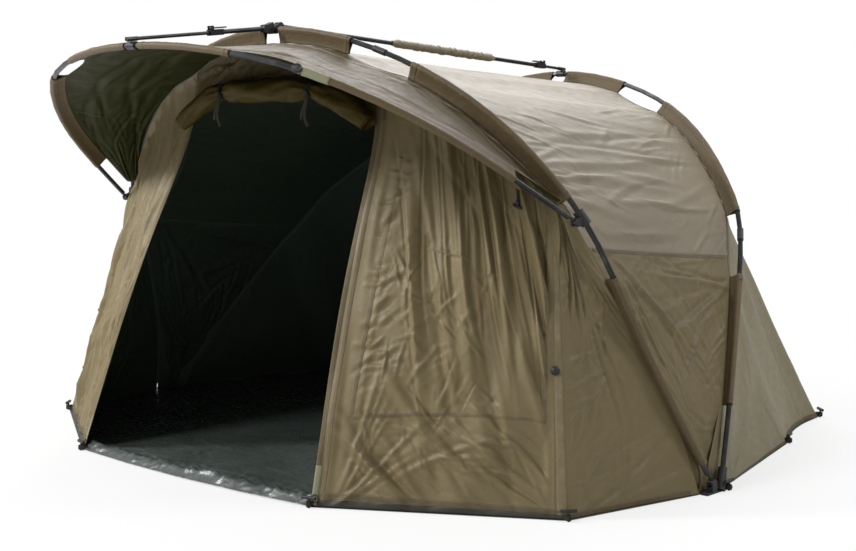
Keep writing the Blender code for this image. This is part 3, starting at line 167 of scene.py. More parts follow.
# Folds, pressed in row by row. A family has a count, its reach across and down the sheet, the way
# its folds run and how far they stray from it, and their length, width and depth. A fan has a
# count, its centre, the span of its angles and of its radii, and length, width and depth. A swell
# has a depth and a wavelength, a drape a depth and a spacing.
DOWN = math.pi / 2
WHOLE_SHARES = (0.0, 1.0)
ROOF_FOLD_SHARES = (
    ("family", 26, (0.0, 0.28), WHOLE_SHARES, DOWN, 0.35, 0.42, 0.020, 0.0060),
    ("family", 30, (0.0, 0.28), (0.55, 1.0), DOWN - 0.5, 0.4, 0.20, 0.013, 0.0050),
    ("family", 22, (0.0, 0.28), (0.0, 0.4), DOWN + 0.5, 0.5, 0.17, 0.012, 0.0050),
    ("family", 26, (0.72, 1.0), WHOLE_SHARES, DOWN, 0.35, 0.42, 0.020, 0.0060),
    ("family", 30, (0.72, 1.0), (0.55, 1.0), DOWN + 0.5, 0.4, 0.20, 0.013, 0.0050),
    ("family", 22, (0.72, 1.0), (0.0, 0.4), DOWN - 0.5, 0.5, 0.17, 0.012, 0.0050),
    ("family", 34, (0.25, 0.75), WHOLE_SHARES, DOWN, 0.25, 0.5, 0.024, 0.0050),
    ("family", 26, WHOLE_SHARES, (0.0, Metres(0.10)), DOWN, 0.6, 0.13, 0.009, 0.0030),
    ("family", 30, WHOLE_SHARES, (Metres(-0.12), 1.0), DOWN, 0.6, 0.14, 0.009, 0.0032),
    ("family", 16, (0.02, 0.22), (0.1, 0.8), DOWN, 0.16, 0.55, 0.017, 0.0125),
    ("family", 26, (0.02, 0.22), (0.0, 0.35), DOWN, 0.5, 0.16, 0.010, 0.0060),
    ("family", 16, (0.78, 0.98), (0.1, 0.8), DOWN, 0.16, 0.55, 0.017, 0.0125),
    ("family", 26, (0.78, 0.98), (0.0, 0.35), DOWN, 0.5, 0.16, 0.010, 0.0060),
    ("swell", 0.0018, 0.45),
)
HOOD_FOLD_SHARES = (
    ("family", 60, WHOLE_SHARES, WHOLE_SHARES, 0.0, 0.22, 0.40, 0.017, 0.0085),
    ("family", 46, (0.0, 0.3), WHOLE_SHARES, 0.25, 0.5, 0.18, 0.013, 0.0065),
    ("family", 46, (0.7, 1.0), WHOLE_SHARES, -0.25, 0.5, 0.18, 0.013, 0.0065),
    ("family", 50, WHOLE_SHARES, (Metres(-0.10), 1.0), DOWN, 0.7, 0.10, 0.011, 0.0040),
    ("family", 50, WHOLE_SHARES, (0.0, Metres(0.10)), DOWN, 0.6, 0.10, 0.011, 0.0045),
    ("swell", 0.0028, 0.35),
)
SIDE_FOLD_SHARES = (
    ("family", 80, (0.1, 1.0), WHOLE_SHARES, 1.2, 0.9, 0.16, 0.0085, 0.0065),
    ("family", 50, (0.3, 1.0), WHOLE_SHARES, -0.3, 0.5, 0.24, 0.0095, 0.0065),
    ("fan", 44, (1.0, 0.1), (2.4, 4.0), (0.1, 0.5), 0.26, 0.010, 0.0100),
    ("fan", 36, (0.85, 1.0), (-2.6, -1.2), (0.1, 0.4), 0.22, 0.010, 0.0095),
    ("swell", 0.0035, 0.25),
)
CORNER_FOLD_SHARES = (
    ("fan", 44, (1.0, 0.5), (2.7, 3.6), (0.05, 0.6), 0.28, 0.010, 0.0085),
    ("family", 60, (0.0, 0.8), (0.0, 0.7), 0.9, 0.7, 0.15, 0.0085, 0.0080),
    ("family", 20, WHOLE_SHARES, (0.0, Metres(0.14)), 0.0, 0.3, 0.20, 0.012, 0.0055),
    ("fan", 22, (0.0, 0.0), (0.2, 1.3), (0.05, 0.3), 0.18, 0.011, 0.0060),
    ("swell", 0.0030, 0.25),
)
RIGHT_WALL_FOLD_SHARES = (
    ("family", 10, (0.84, 1.0), (0.10, 0.85), DOWN, 0.04, 0.60, 0.013, 0.0070),
    ("family", 30, (0.10, 0.72), (0.12, 0.62), 1.86, 0.07, 0.62, 0.026, 0.0270),
    ("family", 26, (0.10, 0.50), (0.10, 0.45), 1.80, 0.10, 0.40, 0.013, 0.0110),
    ("family", 26, (0.10, 0.85), (0.80, 0.97), 2.45, 0.25, 0.34, 0.018, 0.0160),
    ("family", 70, (0.35, 0.82), (0.35, 0.72), 1.4, 1.3, 0.11, 0.009, 0.0075),
    ("family", 60, (0.10, 0.85), (0.78, 0.98), 2.6, 0.7, 0.13, 0.009, 0.0070),
    ("family", 24, (0.0, 0.6), (Metres(0.02), 0.20), 2.3, 0.5, 0.20, 0.014, 0.0090),
    ("family", 60, (0.80, 0.88), (0.20, 0.74), 0.5, 0.5, 0.045, 0.009, 0.0090),
    ("family", 50, (0.06, 0.12), (0.15, 0.72), -0.5, 0.5, 0.040, 0.009, 0.0070),
    ("fan", 20, (0.9, 1.0), (3.6, 4.5), (0.06, 0.40), 0.30, 0.010, 0.0075),
    ("swell", 0.0050, 0.30),
    ("family", 26, (0.12, 0.80), (0.02, 0.45), 1.80, 0.06, 0.55, 0.0075, -0.0110),
    ("family", 60, (0.40, 0.84), (0.40, 0.95), 2.3, 1.2, 0.09, 0.0055, 0.0055),
)
STRIP_FOLD_SHARES = (
    ("family", 12, (0.0, Metres(STRIP_WIDTH)), (0.1, 0.9), DOWN, 0.03, 0.40, 0.010, 0.0020),
)
LEFT_WALL_FOLD_SHARES = (
    ("family", 16, WHOLE_SHARES, (0.2, 0.8), DOWN, 0.05, 0.75, 0.026, 0.0320),
    ("family", 30, WHOLE_SHARES, (0.15, 0.85), DOWN, 0.08, 0.50, 0.013, 0.0150),
    ("family", 50, WHOLE_SHARES, (0.4, 1.0), 1.7, 0.9, 0.13, 0.010, 0.0100),
    ("family", 50, WHOLE_SHARES, WHOLE_SHARES, 1.45, 0.4, 0.16, 0.009, 0.0060),
    ("drape", 0.0120, 0.085),
    ("swell", 0.0060, 0.28),
)
LEFT_WALL_PLEAT_SHARES = (
    ("family", 14, (0.3, 1.0), (0.1, 0.8), DOWN, 0.04, 0.80, 0.007, -0.0140),
    ("family", 60, (0.3, 1.0), (0.3, 1.0), 1.2, 0.8, 0.07, 0.006, 0.0070),
)
HEADER_FOLD_SHARES = (
    ("family", 44, WHOLE_SHARES, WHOLE_SHARES, 0.1, 0.35, 0.22, 0.011, 0.0090),
    ("family", 50, WHOLE_SHARES, WHOLE_SHARES, DOWN, 0.5, 0.10, 0.010, 0.0060),
    ("swell", 0.0040, 0.2),
)
ROLL_FOLD_SHARES = (
    ("family", 150, (0.6, 1.0), WHOLE_SHARES, 0.9, 0.9, 0.09, 0.008, 0.0045),
    ("family", 90, (0.6, 1.0), WHOLE_SHARES, DOWN, 0.2, 0.22, 0.009, 0.0040),
)
REAR_FOLD_SHARES = (
    ("family", 70, WHOLE_SHARES, WHOLE_SHARES, DOWN, 0.4, 0.30, 0.013, 0.0045),
    ("family", 90, WHOLE_SHARES, (0.6, 1.0), DOWN, 0.7, 0.16, 0.010, 0.0045),
    ("family", 60, WHOLE_SHARES, (0.0, Metres(0.16)), DOWN, 0.7, 0.12, 0.009, 0.0034),
    ("swell", 0.0025, 0.35),
)
# The groundsheet's rucks lie at places of the ground in metres
RUCKS = (
    ("family", 170, (-0.66, 0.66), (-1.22, -1.04), 0.25, 0.5, 0.14, 0.010, 0.0130),
    ("family", 110, (-0.66, 0.66), (-1.21, -1.10), 1.2, 0.5, 0.09, 0.009, 0.0110),
    ("family", 150, (-0.8, 0.8), (-1.1, -0.3), 0.6, 1.2, 0.18, 0.010, 0.0085),
    ("family", 120, (-1.2, 1.2), (-0.4, 1.0), 1.0, 1.5, 0.24, 0.016, 0.0040),
)
# A sleeve's gathers: how many a metre and besides, where across it, then as in a family
PUCKER_SHARES = (
    (46, 0, (0.30, 0.55), 0.15, 0.7, 0.035, 0.0045, 0.0016),
    (46, 0, (0.60, 0.95), -0.15, 0.7, 0.035, 0.0045, 0.0016),
    (14, 2, WHOLE_SHARES, DOWN, 0.3, 0.12, 0.005, 0.0011),
)
PUCKER_LOWEST = -0.0004
# The bar wrap's ruches: how many, then as in a family
RUCHES = (
    (70, 0.6, 0.35, 0.07, 0.0065, 0.0040),
    (40, 2.4, 0.4, 0.05, 0.005, 0.0026),
)
SEEDS = {"roof": 3, "hood": 11, "side": 23, "corner": 31, "right_wall": 41, "left_wall": 57, "header": 71,
         "roll": 19, "roll_turns": 5, "rear_wall": 83, "groundsheet": 97, "wrap": 401,
         "right_sleeve": 200, "left_sleeve": 300}
SEED_STEP = 7              # from one sleeve of a hoop to the next

# Tapes
RIBBON_RISE = 0.0009       # how proud a sewn-on tape stands
THINNEST = 0.0005          # of any tape
TAPE_SHARES = np.array([-0.5, -0.44, -0.2, 0.0, 0.2, 0.44, 0.5])   # across a tape
TAPE_LIFTS = np.array([0.05, 1.0, 1.15, 1.25, 1.15, 1.0, 0.05])    # in rises
RIBBON_STEP = 0.006        # of a tape's mesh, as are the next three
TAPE_STEP = 0.005
TIE_STEP = 0.004
HEM_STEP = 0.003
TAPE_END = 0.010           # a seam's tape ends this far inside the sheet
SEAM_WIDTH = 0.014
BINDING_WIDTH = 0.018
ZIP_WIDTH = 0.016
STRIP_TAPE_WIDTH = 0.046
# A wall's tapes: name, where they start and end in metres from the near or the far edge, and width
WALL_TAPES = (
    ("door_binding", (-0.008, TAPE_END), (-0.008, -0.004), BINDING_WIDTH),
    ("door_zip", (-0.034, TAPE_END), (-0.034, -TAPE_END), ZIP_WIDTH),
    ("wall_hem", (TAPE_END, -0.032), (-TAPE_END, -0.032), BINDING_WIDTH),
    ("corner_strip", (0.024, 0.004), (0.024, -TAPE_END), STRIP_TAPE_WIDTH),
)
ROOF_SEAM_IN = 0.006
CORNER_HEM = ((0.012, 0.012), (0.012, -0.020))
HOOD_SEAM_SHARE = 0.93     # down the hood
HOOD_SEAM_END = 0.020
HOOD_SEAM_WIDTH = 0.012
REAR_SEAM_SHARES = (.235, .355, .645, .765)
REAR_HEM_IN = 0.011
REAR_HEM_END = 0.020
PANEL_CORNER_SHARES = ((.110, .094), (.114, .713), (.886, .800), (.850, .190))
PANEL_ZIPS = (("panel_zip_side", 0, 1, ZIP_WIDTH), ("panel_zip_foot", 1, 2, SEAM_WIDTH),
              ("panel_zip_door", 2, 3, ZIP_WIDTH))
GUSSET_DROP_SHARE = .12    # of the corner seam that the gusset reaches down
GUSSET_PLACES = ((0.05, 0.12), (0.07, 0.04), (0.10, 0.0))    # of its edge on the wall
GUSSET_FACING = (0.05, 0.08)
GUSSET_POINTS = 24
GUSSET_RISE = 0.0022
INNER_TAPE_DEPTH = 0.0060  # below a web's seam
INNER_TAPE_STATIONS = (0.25, 3.0, 40)          # first, last and count beside a foot
INNER_TAPE_UPPER = (3.05, STATIONS, 130)       # and above it
INNER_TAPE_PLACES = (0.0, 1.8, 3.0)
INNER_TAPE_WIDTHS = (0.130, 0.055, 0.020)
INNER_TAPE_SHARES = np.linspace(-0.5, 0.5, 9)
INNER_TAPE_FLAT = 0.026

# Header and rolled door
TIE_SHARE = .47            # of the roll's half, where it is tied
ROLL_POINTS = 150
ROLL_TURNS = 5
TURN_POINTS = 34
ROLL_CORE_SHARE = 0.16     # of the roll's radius
ROLL_WIND = 0.85
ROLL_START = math.pi * 0.75
ROLL_SQUASH = 0.90
ROLL_LOBE = 0.022          # how far the roll hangs between its ties
ROLL_AWAY = 1.05           # its axis from the door's plane, in radii
ROLL_UP = (0.0, -0.35, 1.0)
ROLL_CLOTH = 0.0009
LOBE_SIZE = 1.12
WAIST_DEPTH = 0.42
WAIST_WIDTH_SHARE = 0.075
ROLL_END_TAPER = 0.30
ROLL_END_POWER = 7
ROLL_WAVES = ((0.060, 3, 9), (0.045, 5, -17))      # depth, waves round the roll and along it
PLEATS = (0.12, 9, 6)
PLEAT_WIDTH_SHARE = 0.13
ROLL_OUTER_SHARE = 0.72    # beyond this share of the winding, the cloth shows its folds
ROLL_OUTER_FADE = 0.08
ROLL_LOWEST = -0.001
TIE_WIDTH = 0.020
TIE_RISE = 0.0014
TIE_POINTS = 60
TIE_LOOSE = 1.06
TIE_SPARE = 0.002
TIE_SQUASH = 0.92
TIE_ENDS = ((-0.10, 0.095), (0.14, 0.120))         # lean and length
TIE_END_WIDTH = 0.014
TIE_END_RISE = 0.0012
TIE_END_POINTS = 14
TIE_SWAY = 0.010
TIE_SWAY_WAVES = 5.0
TIE_FORWARD = 0.004
TIE_CURL = 0.006
TIE_CURL_WAVES = 3
TIE_TWIST = 0.15
TIE_FRONT = (0.98, 0.25)   # in sizes of the tie, ahead and down from the axis
KNOT_PLACE = (0.0, -0.004, 0.002)
KNOT_HALVES = (0.013, 0.007, 0.009)

# Groundsheet
SHEET_ROWS = 230
SHEET_COLUMNS = 330
SHEET_CROWD = 1.25         # rows crowd towards the front edge by this power
SHEET_BASE = 0.0021
SHEET_FILM = 0.0006
OPEN_HALF = 0.70           # half the front edge that lies open, fading over the next value
OPEN_FADE = 0.10
FREE_HALF = 0.62
LIP_HEIGHT = 0.024
LIP_IN = 0.040
LIP_WIDTH = 0.028
HEM_RAMP = 0.012
HEM_LEAST = 0.1
SHEET_FADE = 0.05

# Sleeves and wrap
SLEEVE_STEP = 0.007
ARC_POINTS = 16
WEB_POINTS = 9
WEB_PINCH = 1.25
WEB_PINCH_POWER = 1.3
SLEEVE_HEM_WIDTH = 0.012
SLEEVE_HEM_RISE = 0.0006
SLEEVE_HEM_ROW = 3
STITCH_PLACES = (0.050, 0.122)     # round a sleeve, from one side of the tube
BAR_GAP = 0.0003
WRAP_ROWS = 150
WRAP_POINTS = 40
WRAP_MIDDLE_RADIUS = 0.017
WRAP_ROUND = 0.11
WRAP_END_SHARE = 0.05
WRAP_SPARE = 0.0012
WRAP_FULLNESS = 0.0062
WRAP_LOWEST = -0.004
WRAP_HIGHEST = 0.006
WRAP_OVAL = 0.10
WRAP_OVAL_TURN = 1.0

# Small sewn-on pieces
LOOP_LENGTH = 0.060        # of a webbing loop round a peg
LOOP_WIDTH = 0.022
LOOP_HEIGHT = 0.0125
LOOP_TAPE = 0.018
LOOP_RISE = 0.0012
LOOP_POINTS = 40
TOGGLE_PLACE_SHARES = (.264, .120)     # of the right wall's width and length
TOGGLE_LEAN = 0.35
TOGGLE_STRIP = ((0.004, -0.045), (0.0, 0.012))
TOGGLE_STRIP_WIDTH = 0.016
TOGGLE_STRIP_RISE = 0.0015
TOGGLE_DROP = 0.030
TOGGLE_BAR_RISE = 0.008
TOGGLE_BAR_HALVES = (0.023, 0.0055, 0.0055)
TOGGLE_STEM_RISE = 0.006
TOGGLE_STEM_UP = 0.010
TOGGLE_STEM_HALVES = (0.006, 0.006, 0.012)
KNOB_PLACE_SHARES = (.053, .522)       # of the right wall, too
KNOB_PARTS = (("collar", 0.002, (0.015, 0.015, 0.003), 0.9), ("cap", 0.009, (0.011, 0.011, 0.007), 0.8))
STRAP_IN = 0.010
STRAP_START = 0.115
STRAP_END = 0.004
STRAP_WIDTH = 0.022
STRAP_RISE = 0.0022
RING_UP = 0.022
RING_RISE = 0.005
RING_RADIUS = 0.013
RING_WIRE = 0.0016
RING_POINTS = 36
WIRE_POINTS = 12
# A near-black band along each wall's foot
FOOT_BAND_END = 0.004
FOOT_BAND_UP = 0.010
FOOT_BAND_WIDTH = 0.022
FOOT_BAND_RISE = 0.0014
PEAK_STRAP_SHARES = (.540, .592)       # along the peak hoop's half, as is the badge's place
PEAK_STRAP_SPARE = 0.0022              # room for the sleeve under the strap patch
PEAK_STRAP_DEPTH_SHARE = 0.62
BADGE_SHARE = .602
BADGE_FACING = (0.35, -1.0, 0.45)
BADGE_AWAY = 0.0155
BADGE_HALVES = (0.016, 0.016, 0.004)
BADGE_RIM = (0.003, 0.0135, 0.0022)    # rise, radius and wire
LUMP_RINGS = 12
UV_SCALE = 0.01
WELD = 1e-5

# Floor, light and camera
FLOOR_HALF = 30.0
FLOOR_NEAR = 1.3            # where the floor starts to fade to white
FLOOR_FAR = 2.6             # where it is all white
FLOOR_GLOW = 0.65           # share of white near the tent
WHITE = (1.0, 1.0, 1.0)
SKY_STRENGTH = 0.30
SEEN_STRENGTH = 1.0
GLOSSY_SHARE = 0.35         # of the seen sky that glossy rays get
# Lamps: name, place, aim, size and power
LAMPS = (
    ("top_softbox", (-1.2, 2.2, 4.6), (0.0, 0.2, 0.6), (4.5, 3.5), 125.0),
    ("left_softbox", (-4.6, -5.0, 4.8), (0.3, -0.7, 0.7), (1.2, 1.2), 430.0),
    ("front_softbox", (-0.8, -6.2, 5.4), (0.3, -0.6, 0.6), (1.6, 1.6), 240.0),
    ("right_softbox", (4.2, 2.4, 4.8), (0.8, 0.2, 0.7), (1.2, 1.2), 118.0),
    ("back_softbox", (-4.2, 5.4, 4.4), (0.0, 0.3, 0.9), (5.0, 3.6), 85.0),
)
SENSOR_WIDTH = 36.0
LENS = 63.08
FAR_CLIP = 200.0
CAMERA_PLACE = (4.155, -4.449, 1.257)
CAMERA_DIP = 0.103
CAMERA_TURN = 0.741

# Finishes: pitches, widths and depths of weave, stitches and grain
WEAVE_DISTORTION = 0.4
CLOTH_PITCH = 0.0011
WEAVE_DEPTH = 0.00012
SHEEN_ROUGHNESS = 0.45
FLECK_SHARE = 0.07
FINER = 2.7                # scale of the small crinkles in scales of the large ones
STITCH_SHARE = 0.36        # of a tape's width, from its middle to its stitches
STITCH_HALF = 0.0007
STITCH_PITCH = 0.0042
STITCH_DEPTH = 0.0005
TAPE_PITCH = 0.0014
TAPE_WEAVE_DEPTH = 0.0002
SLEEVE_STITCH_HALF = 0.0009
SLEEVE_STITCH_PITCH = 0.006
SLEEVE_GROOVE = 0.0009
RIB_DEPTH = 0.0004
DRAW_DEPTH = 0.0002
GRAIN_DEPTH = 0.00012
SCUFF_DEPTH = 0.0004
SCUFF_LIGHT = 0.006
LIP_HIGHLIGHT_AHEAD = 0.010        # the groundsheet's painted highlight along its front lip, before and behind the door's foot
LIP_HIGHLIGHT_BEHIND = 0.055
FILM_CREASE_DEPTH = 0.006
FILM_RIPPLE_DEPTH = 0.002
FILM_PITCH = 0.0016
FILM_WEAVE_DEPTH = 0.0001


# Numbers and curves

def natural_spline(knots, values, wanted):
    """A natural cubic spline through values of any shape, one for each knot."""
    knots = np.asarray(knots, dtype=float)
    flat = np.asarray(values, dtype=float).reshape(len(knots), -1)
    step = np.diff(knots)
    count = len(knots)
    system = np.eye(count)
    right = np.zeros_like(flat)
    for k in range(1, count - 1):
        system[k, k - 1:k + 2] = step[k - 1], 2 * (step[k - 1] + step[k]), step[k]
        right[k] = 6 * ((flat[k + 1] - flat[k]) / step[k] - (flat[k] - flat[k - 1]) / step[k - 1])
    bend = np.linalg.solve(system, right)
    cell = np.clip(np.searchsorted(knots, wanted, side="right") - 1, 0, count - 2)
    width = step[cell][:, None]
    after = (np.asarray(wanted) - knots[cell])[:, None]
    before = width - after
    found = (bend[cell] * before ** 3 + bend[cell + 1] * after ** 3) / (6 * width)
    found += (flat[cell] / width - bend[cell] * width / 6) * before
    found += (flat[cell + 1] / width - bend[cell + 1] * width / 6) * after
    return found.reshape((len(wanted),) + np.asarray(values).shape[1:])


def run_lengths(points):
    """The distance along a line of points, from its first point."""
    steps = np.linalg.norm(np.diff(points, axis=0), axis=1)
    return np.concatenate(([0.0], np.cumsum(steps)))


def smooth(share):
    share = np.clip(share, 0.0, 1.0)
    return share * share * (3 - 2 * share)


def hoop_stations(half_span, height, outline_shares, half_count):
    """Points from the right foot over the top to the left foot, closer together in the bends."""
    half = [(x * half_span, s * height) for x, s in outline_shares]
    whole = np.array(half[::-1] + [(-x, s) for x, s in half[1:]], dtype=float)
    along = run_lengths(whole)
    dense = natural_spline(along, whole, np.linspace(0.0, along[-1], OUTLINE_SAMPLES))
    dense = dense[: OUTLINE_SAMPLES // 2 + 1]
    steps = np.diff(dense, axis=0)
    lengths = np.linalg.norm(steps, axis=1)
    headings = np.unwrap(np.arctan2(steps[:, 1], steps[:, 0]))
    bends = np.abs(np.diff(headings, prepend=headings[0]))
    weight = np.concatenate(([0.0], np.cumsum(lengths + BEND_WEIGHT * bends)))
    wanted = np.linspace(0.0, weight[-1], half_count + 1)
    right = [(np.interp(w, weight, dense[:, 0]), np.interp(w, weight, dense[:, 1])) for w in wanted]
    right[-1] = (0.0, height)
    return [Vector((x, s, 0.0)) for x, s in right] + [Vector((-x, s, 0.0)) for x, s in right[-2::-1]]


class Hoop:
    """One bent tube of the frame: its stations, places beside it and its bare stretches."""

    def __init__(self, place, half_span, height, outline_shares, half_count, sleeve_shares, draw):
        self.frame = place
        self.points = hoop_stations(half_span, height, outline_shares, half_count)
        self.half = half_count
        self.lengths = run_lengths(np.array(self.points))
        starts = [share for _, share, _ in sleeve_shares]
        ends = [share for _, _, share in sleeve_shares]
        self.bare = list(zip(ends, starts[1:] + [2 - ends[-1]]))
        self.draw = draw

    def length_at(self, index):
        return np.interp(index, range(len(self.lengths)), self.lengths)

    def span(self, first, last):
        return abs(self.length_at(last) - self.length_at(first))

    def index_at(self, share):
        return float(np.interp(share * self.lengths[self.half], self.lengths, range(len(self.lengths))))

    def share_of(self, index):
        """The share of the way from the nearer foot to the top."""
        whole = self.length_at(index)
        return min(whole, self.lengths[-1] - whole) / self.lengths[self.half]

    def tangent(self, index):
        """The tube's direction, turning evenly from station to station."""
        low = min(int(math.floor(index)), len(self.points) - 2)
        return self.at_station(low).lerp(self.at_station(low + 1), index - low).normalized()

    def at_station(self, k):
        before = self.points[k] - self.points[max(k - 1, 0)]
        after = self.points[min(k + 1, len(self.points) - 1)] - self.points[k]
        return (before.normalized() + after.normalized()).normalized()

    def world(self, index):
        low = min(int(math.floor(index)), len(self.points) - 2)
        return self.frame @ self.points[low].lerp(self.points[low + 1], index - low)


def leaning(place, lean):
    return Matrix.Translation(place) @ Matrix.Rotation(lean, 4, "X")


MIDDLE_PLACE = leaning((0.0, PIVOT_Y - FOOT_SPREAD / 2, PIVOT_Z), MIDDLE_LEAN)
REAR_PLACE = leaning((0.0, PIVOT_Y + FOOT_SPREAD / 2, PIVOT_Z), REAR_LEAN)
REAR = Hoop(REAR_PLACE, HALF_SPAN, REAR_HEIGHT, REAR_SHARES, STATIONS, REAR_SLEEVE_SHARES, REAR_DRAW)
MIDDLE = Hoop(MIDDLE_PLACE, HALF_SPAN, MIDDLE_HEIGHT, MIDDLE_SHARES, STATIONS, MIDDLE_SLEEVE_SHARES,
              MIDDLE_DRAW)
JUNCTION_SPAN = float(np.interp(JUNCTION_RISE, [p.y for p in MIDDLE.points[:STATIONS + 1]],
                                [p.x for p in MIDDLE.points[:STATIONS + 1]]))
PEAK_PLACE = MIDDLE_PLACE @ leaning((0.0, JUNCTION_RISE, JUNCTION_REACH), PEAK_LEAN - MIDDLE_LEAN)
PEAK = Hoop(PEAK_PLACE, JUNCTION_SPAN, PEAK_HEIGHT, PEAK_SHARES, STATIONS - JUNCTION_STATION,
            PEAK_SLEEVE_SHARES, PEAK_DRAW)
LAST = 2 * STATIONS


# How the canopy lies beside the hoops

def hem_point(start, end, share, sag):
    """A point of the hem between two pegs, curved in towards the tent."""
    a = Vector((*start, GROUND))
    b = Vector((*end, GROUND))
    inward = Vector((-(b - a).y, (b - a).x, 0.0)).normalized()
    return a.lerp(b, share) + inward * (4 * sag * share * (1 - share))


def rear_foot_line():
    """Hem points behind the right pivot block, one for each station of the rear hoop's right half."""
    block_end = (HALF_SPAN - CHEEK_RADIUS, PIVOT_Y + BLOCK_LENGTH / 2 + SHEET_LIP)
    places = []
    for k in range(1, STATIONS + 1):
        if k <= SIDE_FOOT_STATION:
            places.append(hem_point(block_end, SIDE_FOOT, (k - 1) / (SIDE_FOOT_STATION - 1), 0.0))
        elif k <= REAR_FOOT_STATION:
            share = (k - SIDE_FOOT_STATION) / (REAR_FOOT_STATION - SIDE_FOOT_STATION)
            places.append(hem_point(SIDE_FOOT, REAR_FOOT, share, HEM_SAG))
        else:
            share = (k - REAR_FOOT_STATION) / (STATIONS - REAR_FOOT_STATION)
            places.append(hem_point(REAR_FOOT, (0.0, BACK_FOOT_Y), share, HEM_SAG * share * (1 - share)))
    return places


def mirror_point(point):
    return Vector((-point.x, point.y, point.z))


INSIDE = Vector((0.0, 0.0, HALF_SPAN / 2))
REAR_HEM = rear_foot_line()
REAR_HEM_ROUND = REAR_HEM + [mirror_point(p) for p in REAR_HEM[-2::-1]]


def whole_index(index, half):
    return index if index <= half else 2 * half - index


def hem_at(k):
    """The rear hem's point for a place between two stations."""
    place = min(max(k - 1, 0.0), STATIONS - 1.0)
    low = min(int(place), STATIONS - 2)
    return REAR_HEM[low].lerp(REAR_HEM[low + 1], place - low)


def far_points(hoop, k):
    """The canopy's next support behind and ahead of a station on a hoop's right half."""
    if hoop is REAR:
        return hem_at(k), MIDDLE.world(k)
    if hoop is MIDDLE:
        if k > JUNCTION_STATION:
            return REAR.world(k), PEAK.world(k - JUNCTION_STATION)
        corner = Vector((*CORNER_FOOT, 0.0)).lerp(Vector(CORNER_TOP), k / JUNCTION_STATION)
        return REAR.world(k), corner
    behind = MIDDLE.world(k + JUNCTION_STATION)
    return behind, PEAK.world(k) * 2 - behind


def lie(hoop, index):
    """At a place: the tube's direction, and the canopy's directions behind, ahead and between."""
    k = whole_index(index, hoop.half)
    here = hoop.world(k)
    along = (hoop.frame.to_3x3() @ hoop.tangent(k)).normalized()
    ways = []
    for far in far_points(hoop, k):
        way = far - here
        ways.append((way - along * way.dot(along)).normalized())
    behind, ahead = ways
    middle = (behind - ahead).normalized()
    if index > hoop.half:
        along, behind, ahead, middle = (mirror_point(way) for way in (along, behind, ahead, middle))
        along = -along
    return along, behind, ahead, middle


def towards_inside(direction, here):
    return direction if direction.dot(INSIDE - here) > 0 else -direction


def web_depth(hoop, index):
    if hoop is PEAK:
        return WEB_HIGH
    return WEB_LOW + (WEB_HIGH - WEB_LOW) * float(smooth(whole_index(index, hoop.half) / WEB_RAMP))


def web_frame(hoop, index):
    """Across a sleeve and down its web."""
    along, behind, _, middle = lie(hoop, index)
    here = hoop.world(index)
    if hoop is PEAK:
        return along.cross(behind).normalized(), behind
    inward = towards_inside(along.cross(middle).normalized(), here)
    return inward.cross(along).normalized(), inward


def beside(hoop, index, part_behind, spare=0.0):
    """The edge of the canopy behind or ahead of a hoop, under the web that it is sewn to."""
    along, behind, ahead, _ = lie(hoop, index)
    way = behind if part_behind else ahead
    here = hoop.world(index)
    _, web = web_frame(hoop, index)
    inward = towards_inside(along.cross(way).normalized(), here)
    return here + web * web_depth(hoop, index) + inward * (CANOPY_DEPTH + spare)


def under_hood(index):
    ahead = lie(MIDDLE, index)[2]
    return beside(MIDDLE, index, False, 3 * CLOTH) + ahead * WALL_AHEAD


def edge_line(points, count):
    """A smooth line of so many points through a panel's edge."""
    points = np.array([tuple(p) for p in points])
    along = run_lengths(points)
    return natural_spline(along, points, np.linspace(0.0, along[-1], count))


def run_shares(points, count=0):
    """Shares of the way along a line of points, at its points or at so many even steps."""
    along = run_lengths(np.array([tuple(p) for p in points]))
    return np.linspace(0.0, 1.0, count) if count else along / along[-1]


def count_for(length, step=CLOTH_STEP):
    return max(int(round(length / step)), 4) + 1


# Creases: soft folds pressed into a sheet

def on_side(place, size):
    """Flat metres of a place along one side of a sheet, from a share or from metres."""
    if not isinstance(place, Metres):
        return size * place
    return float(place) if place >= 0 else size + place


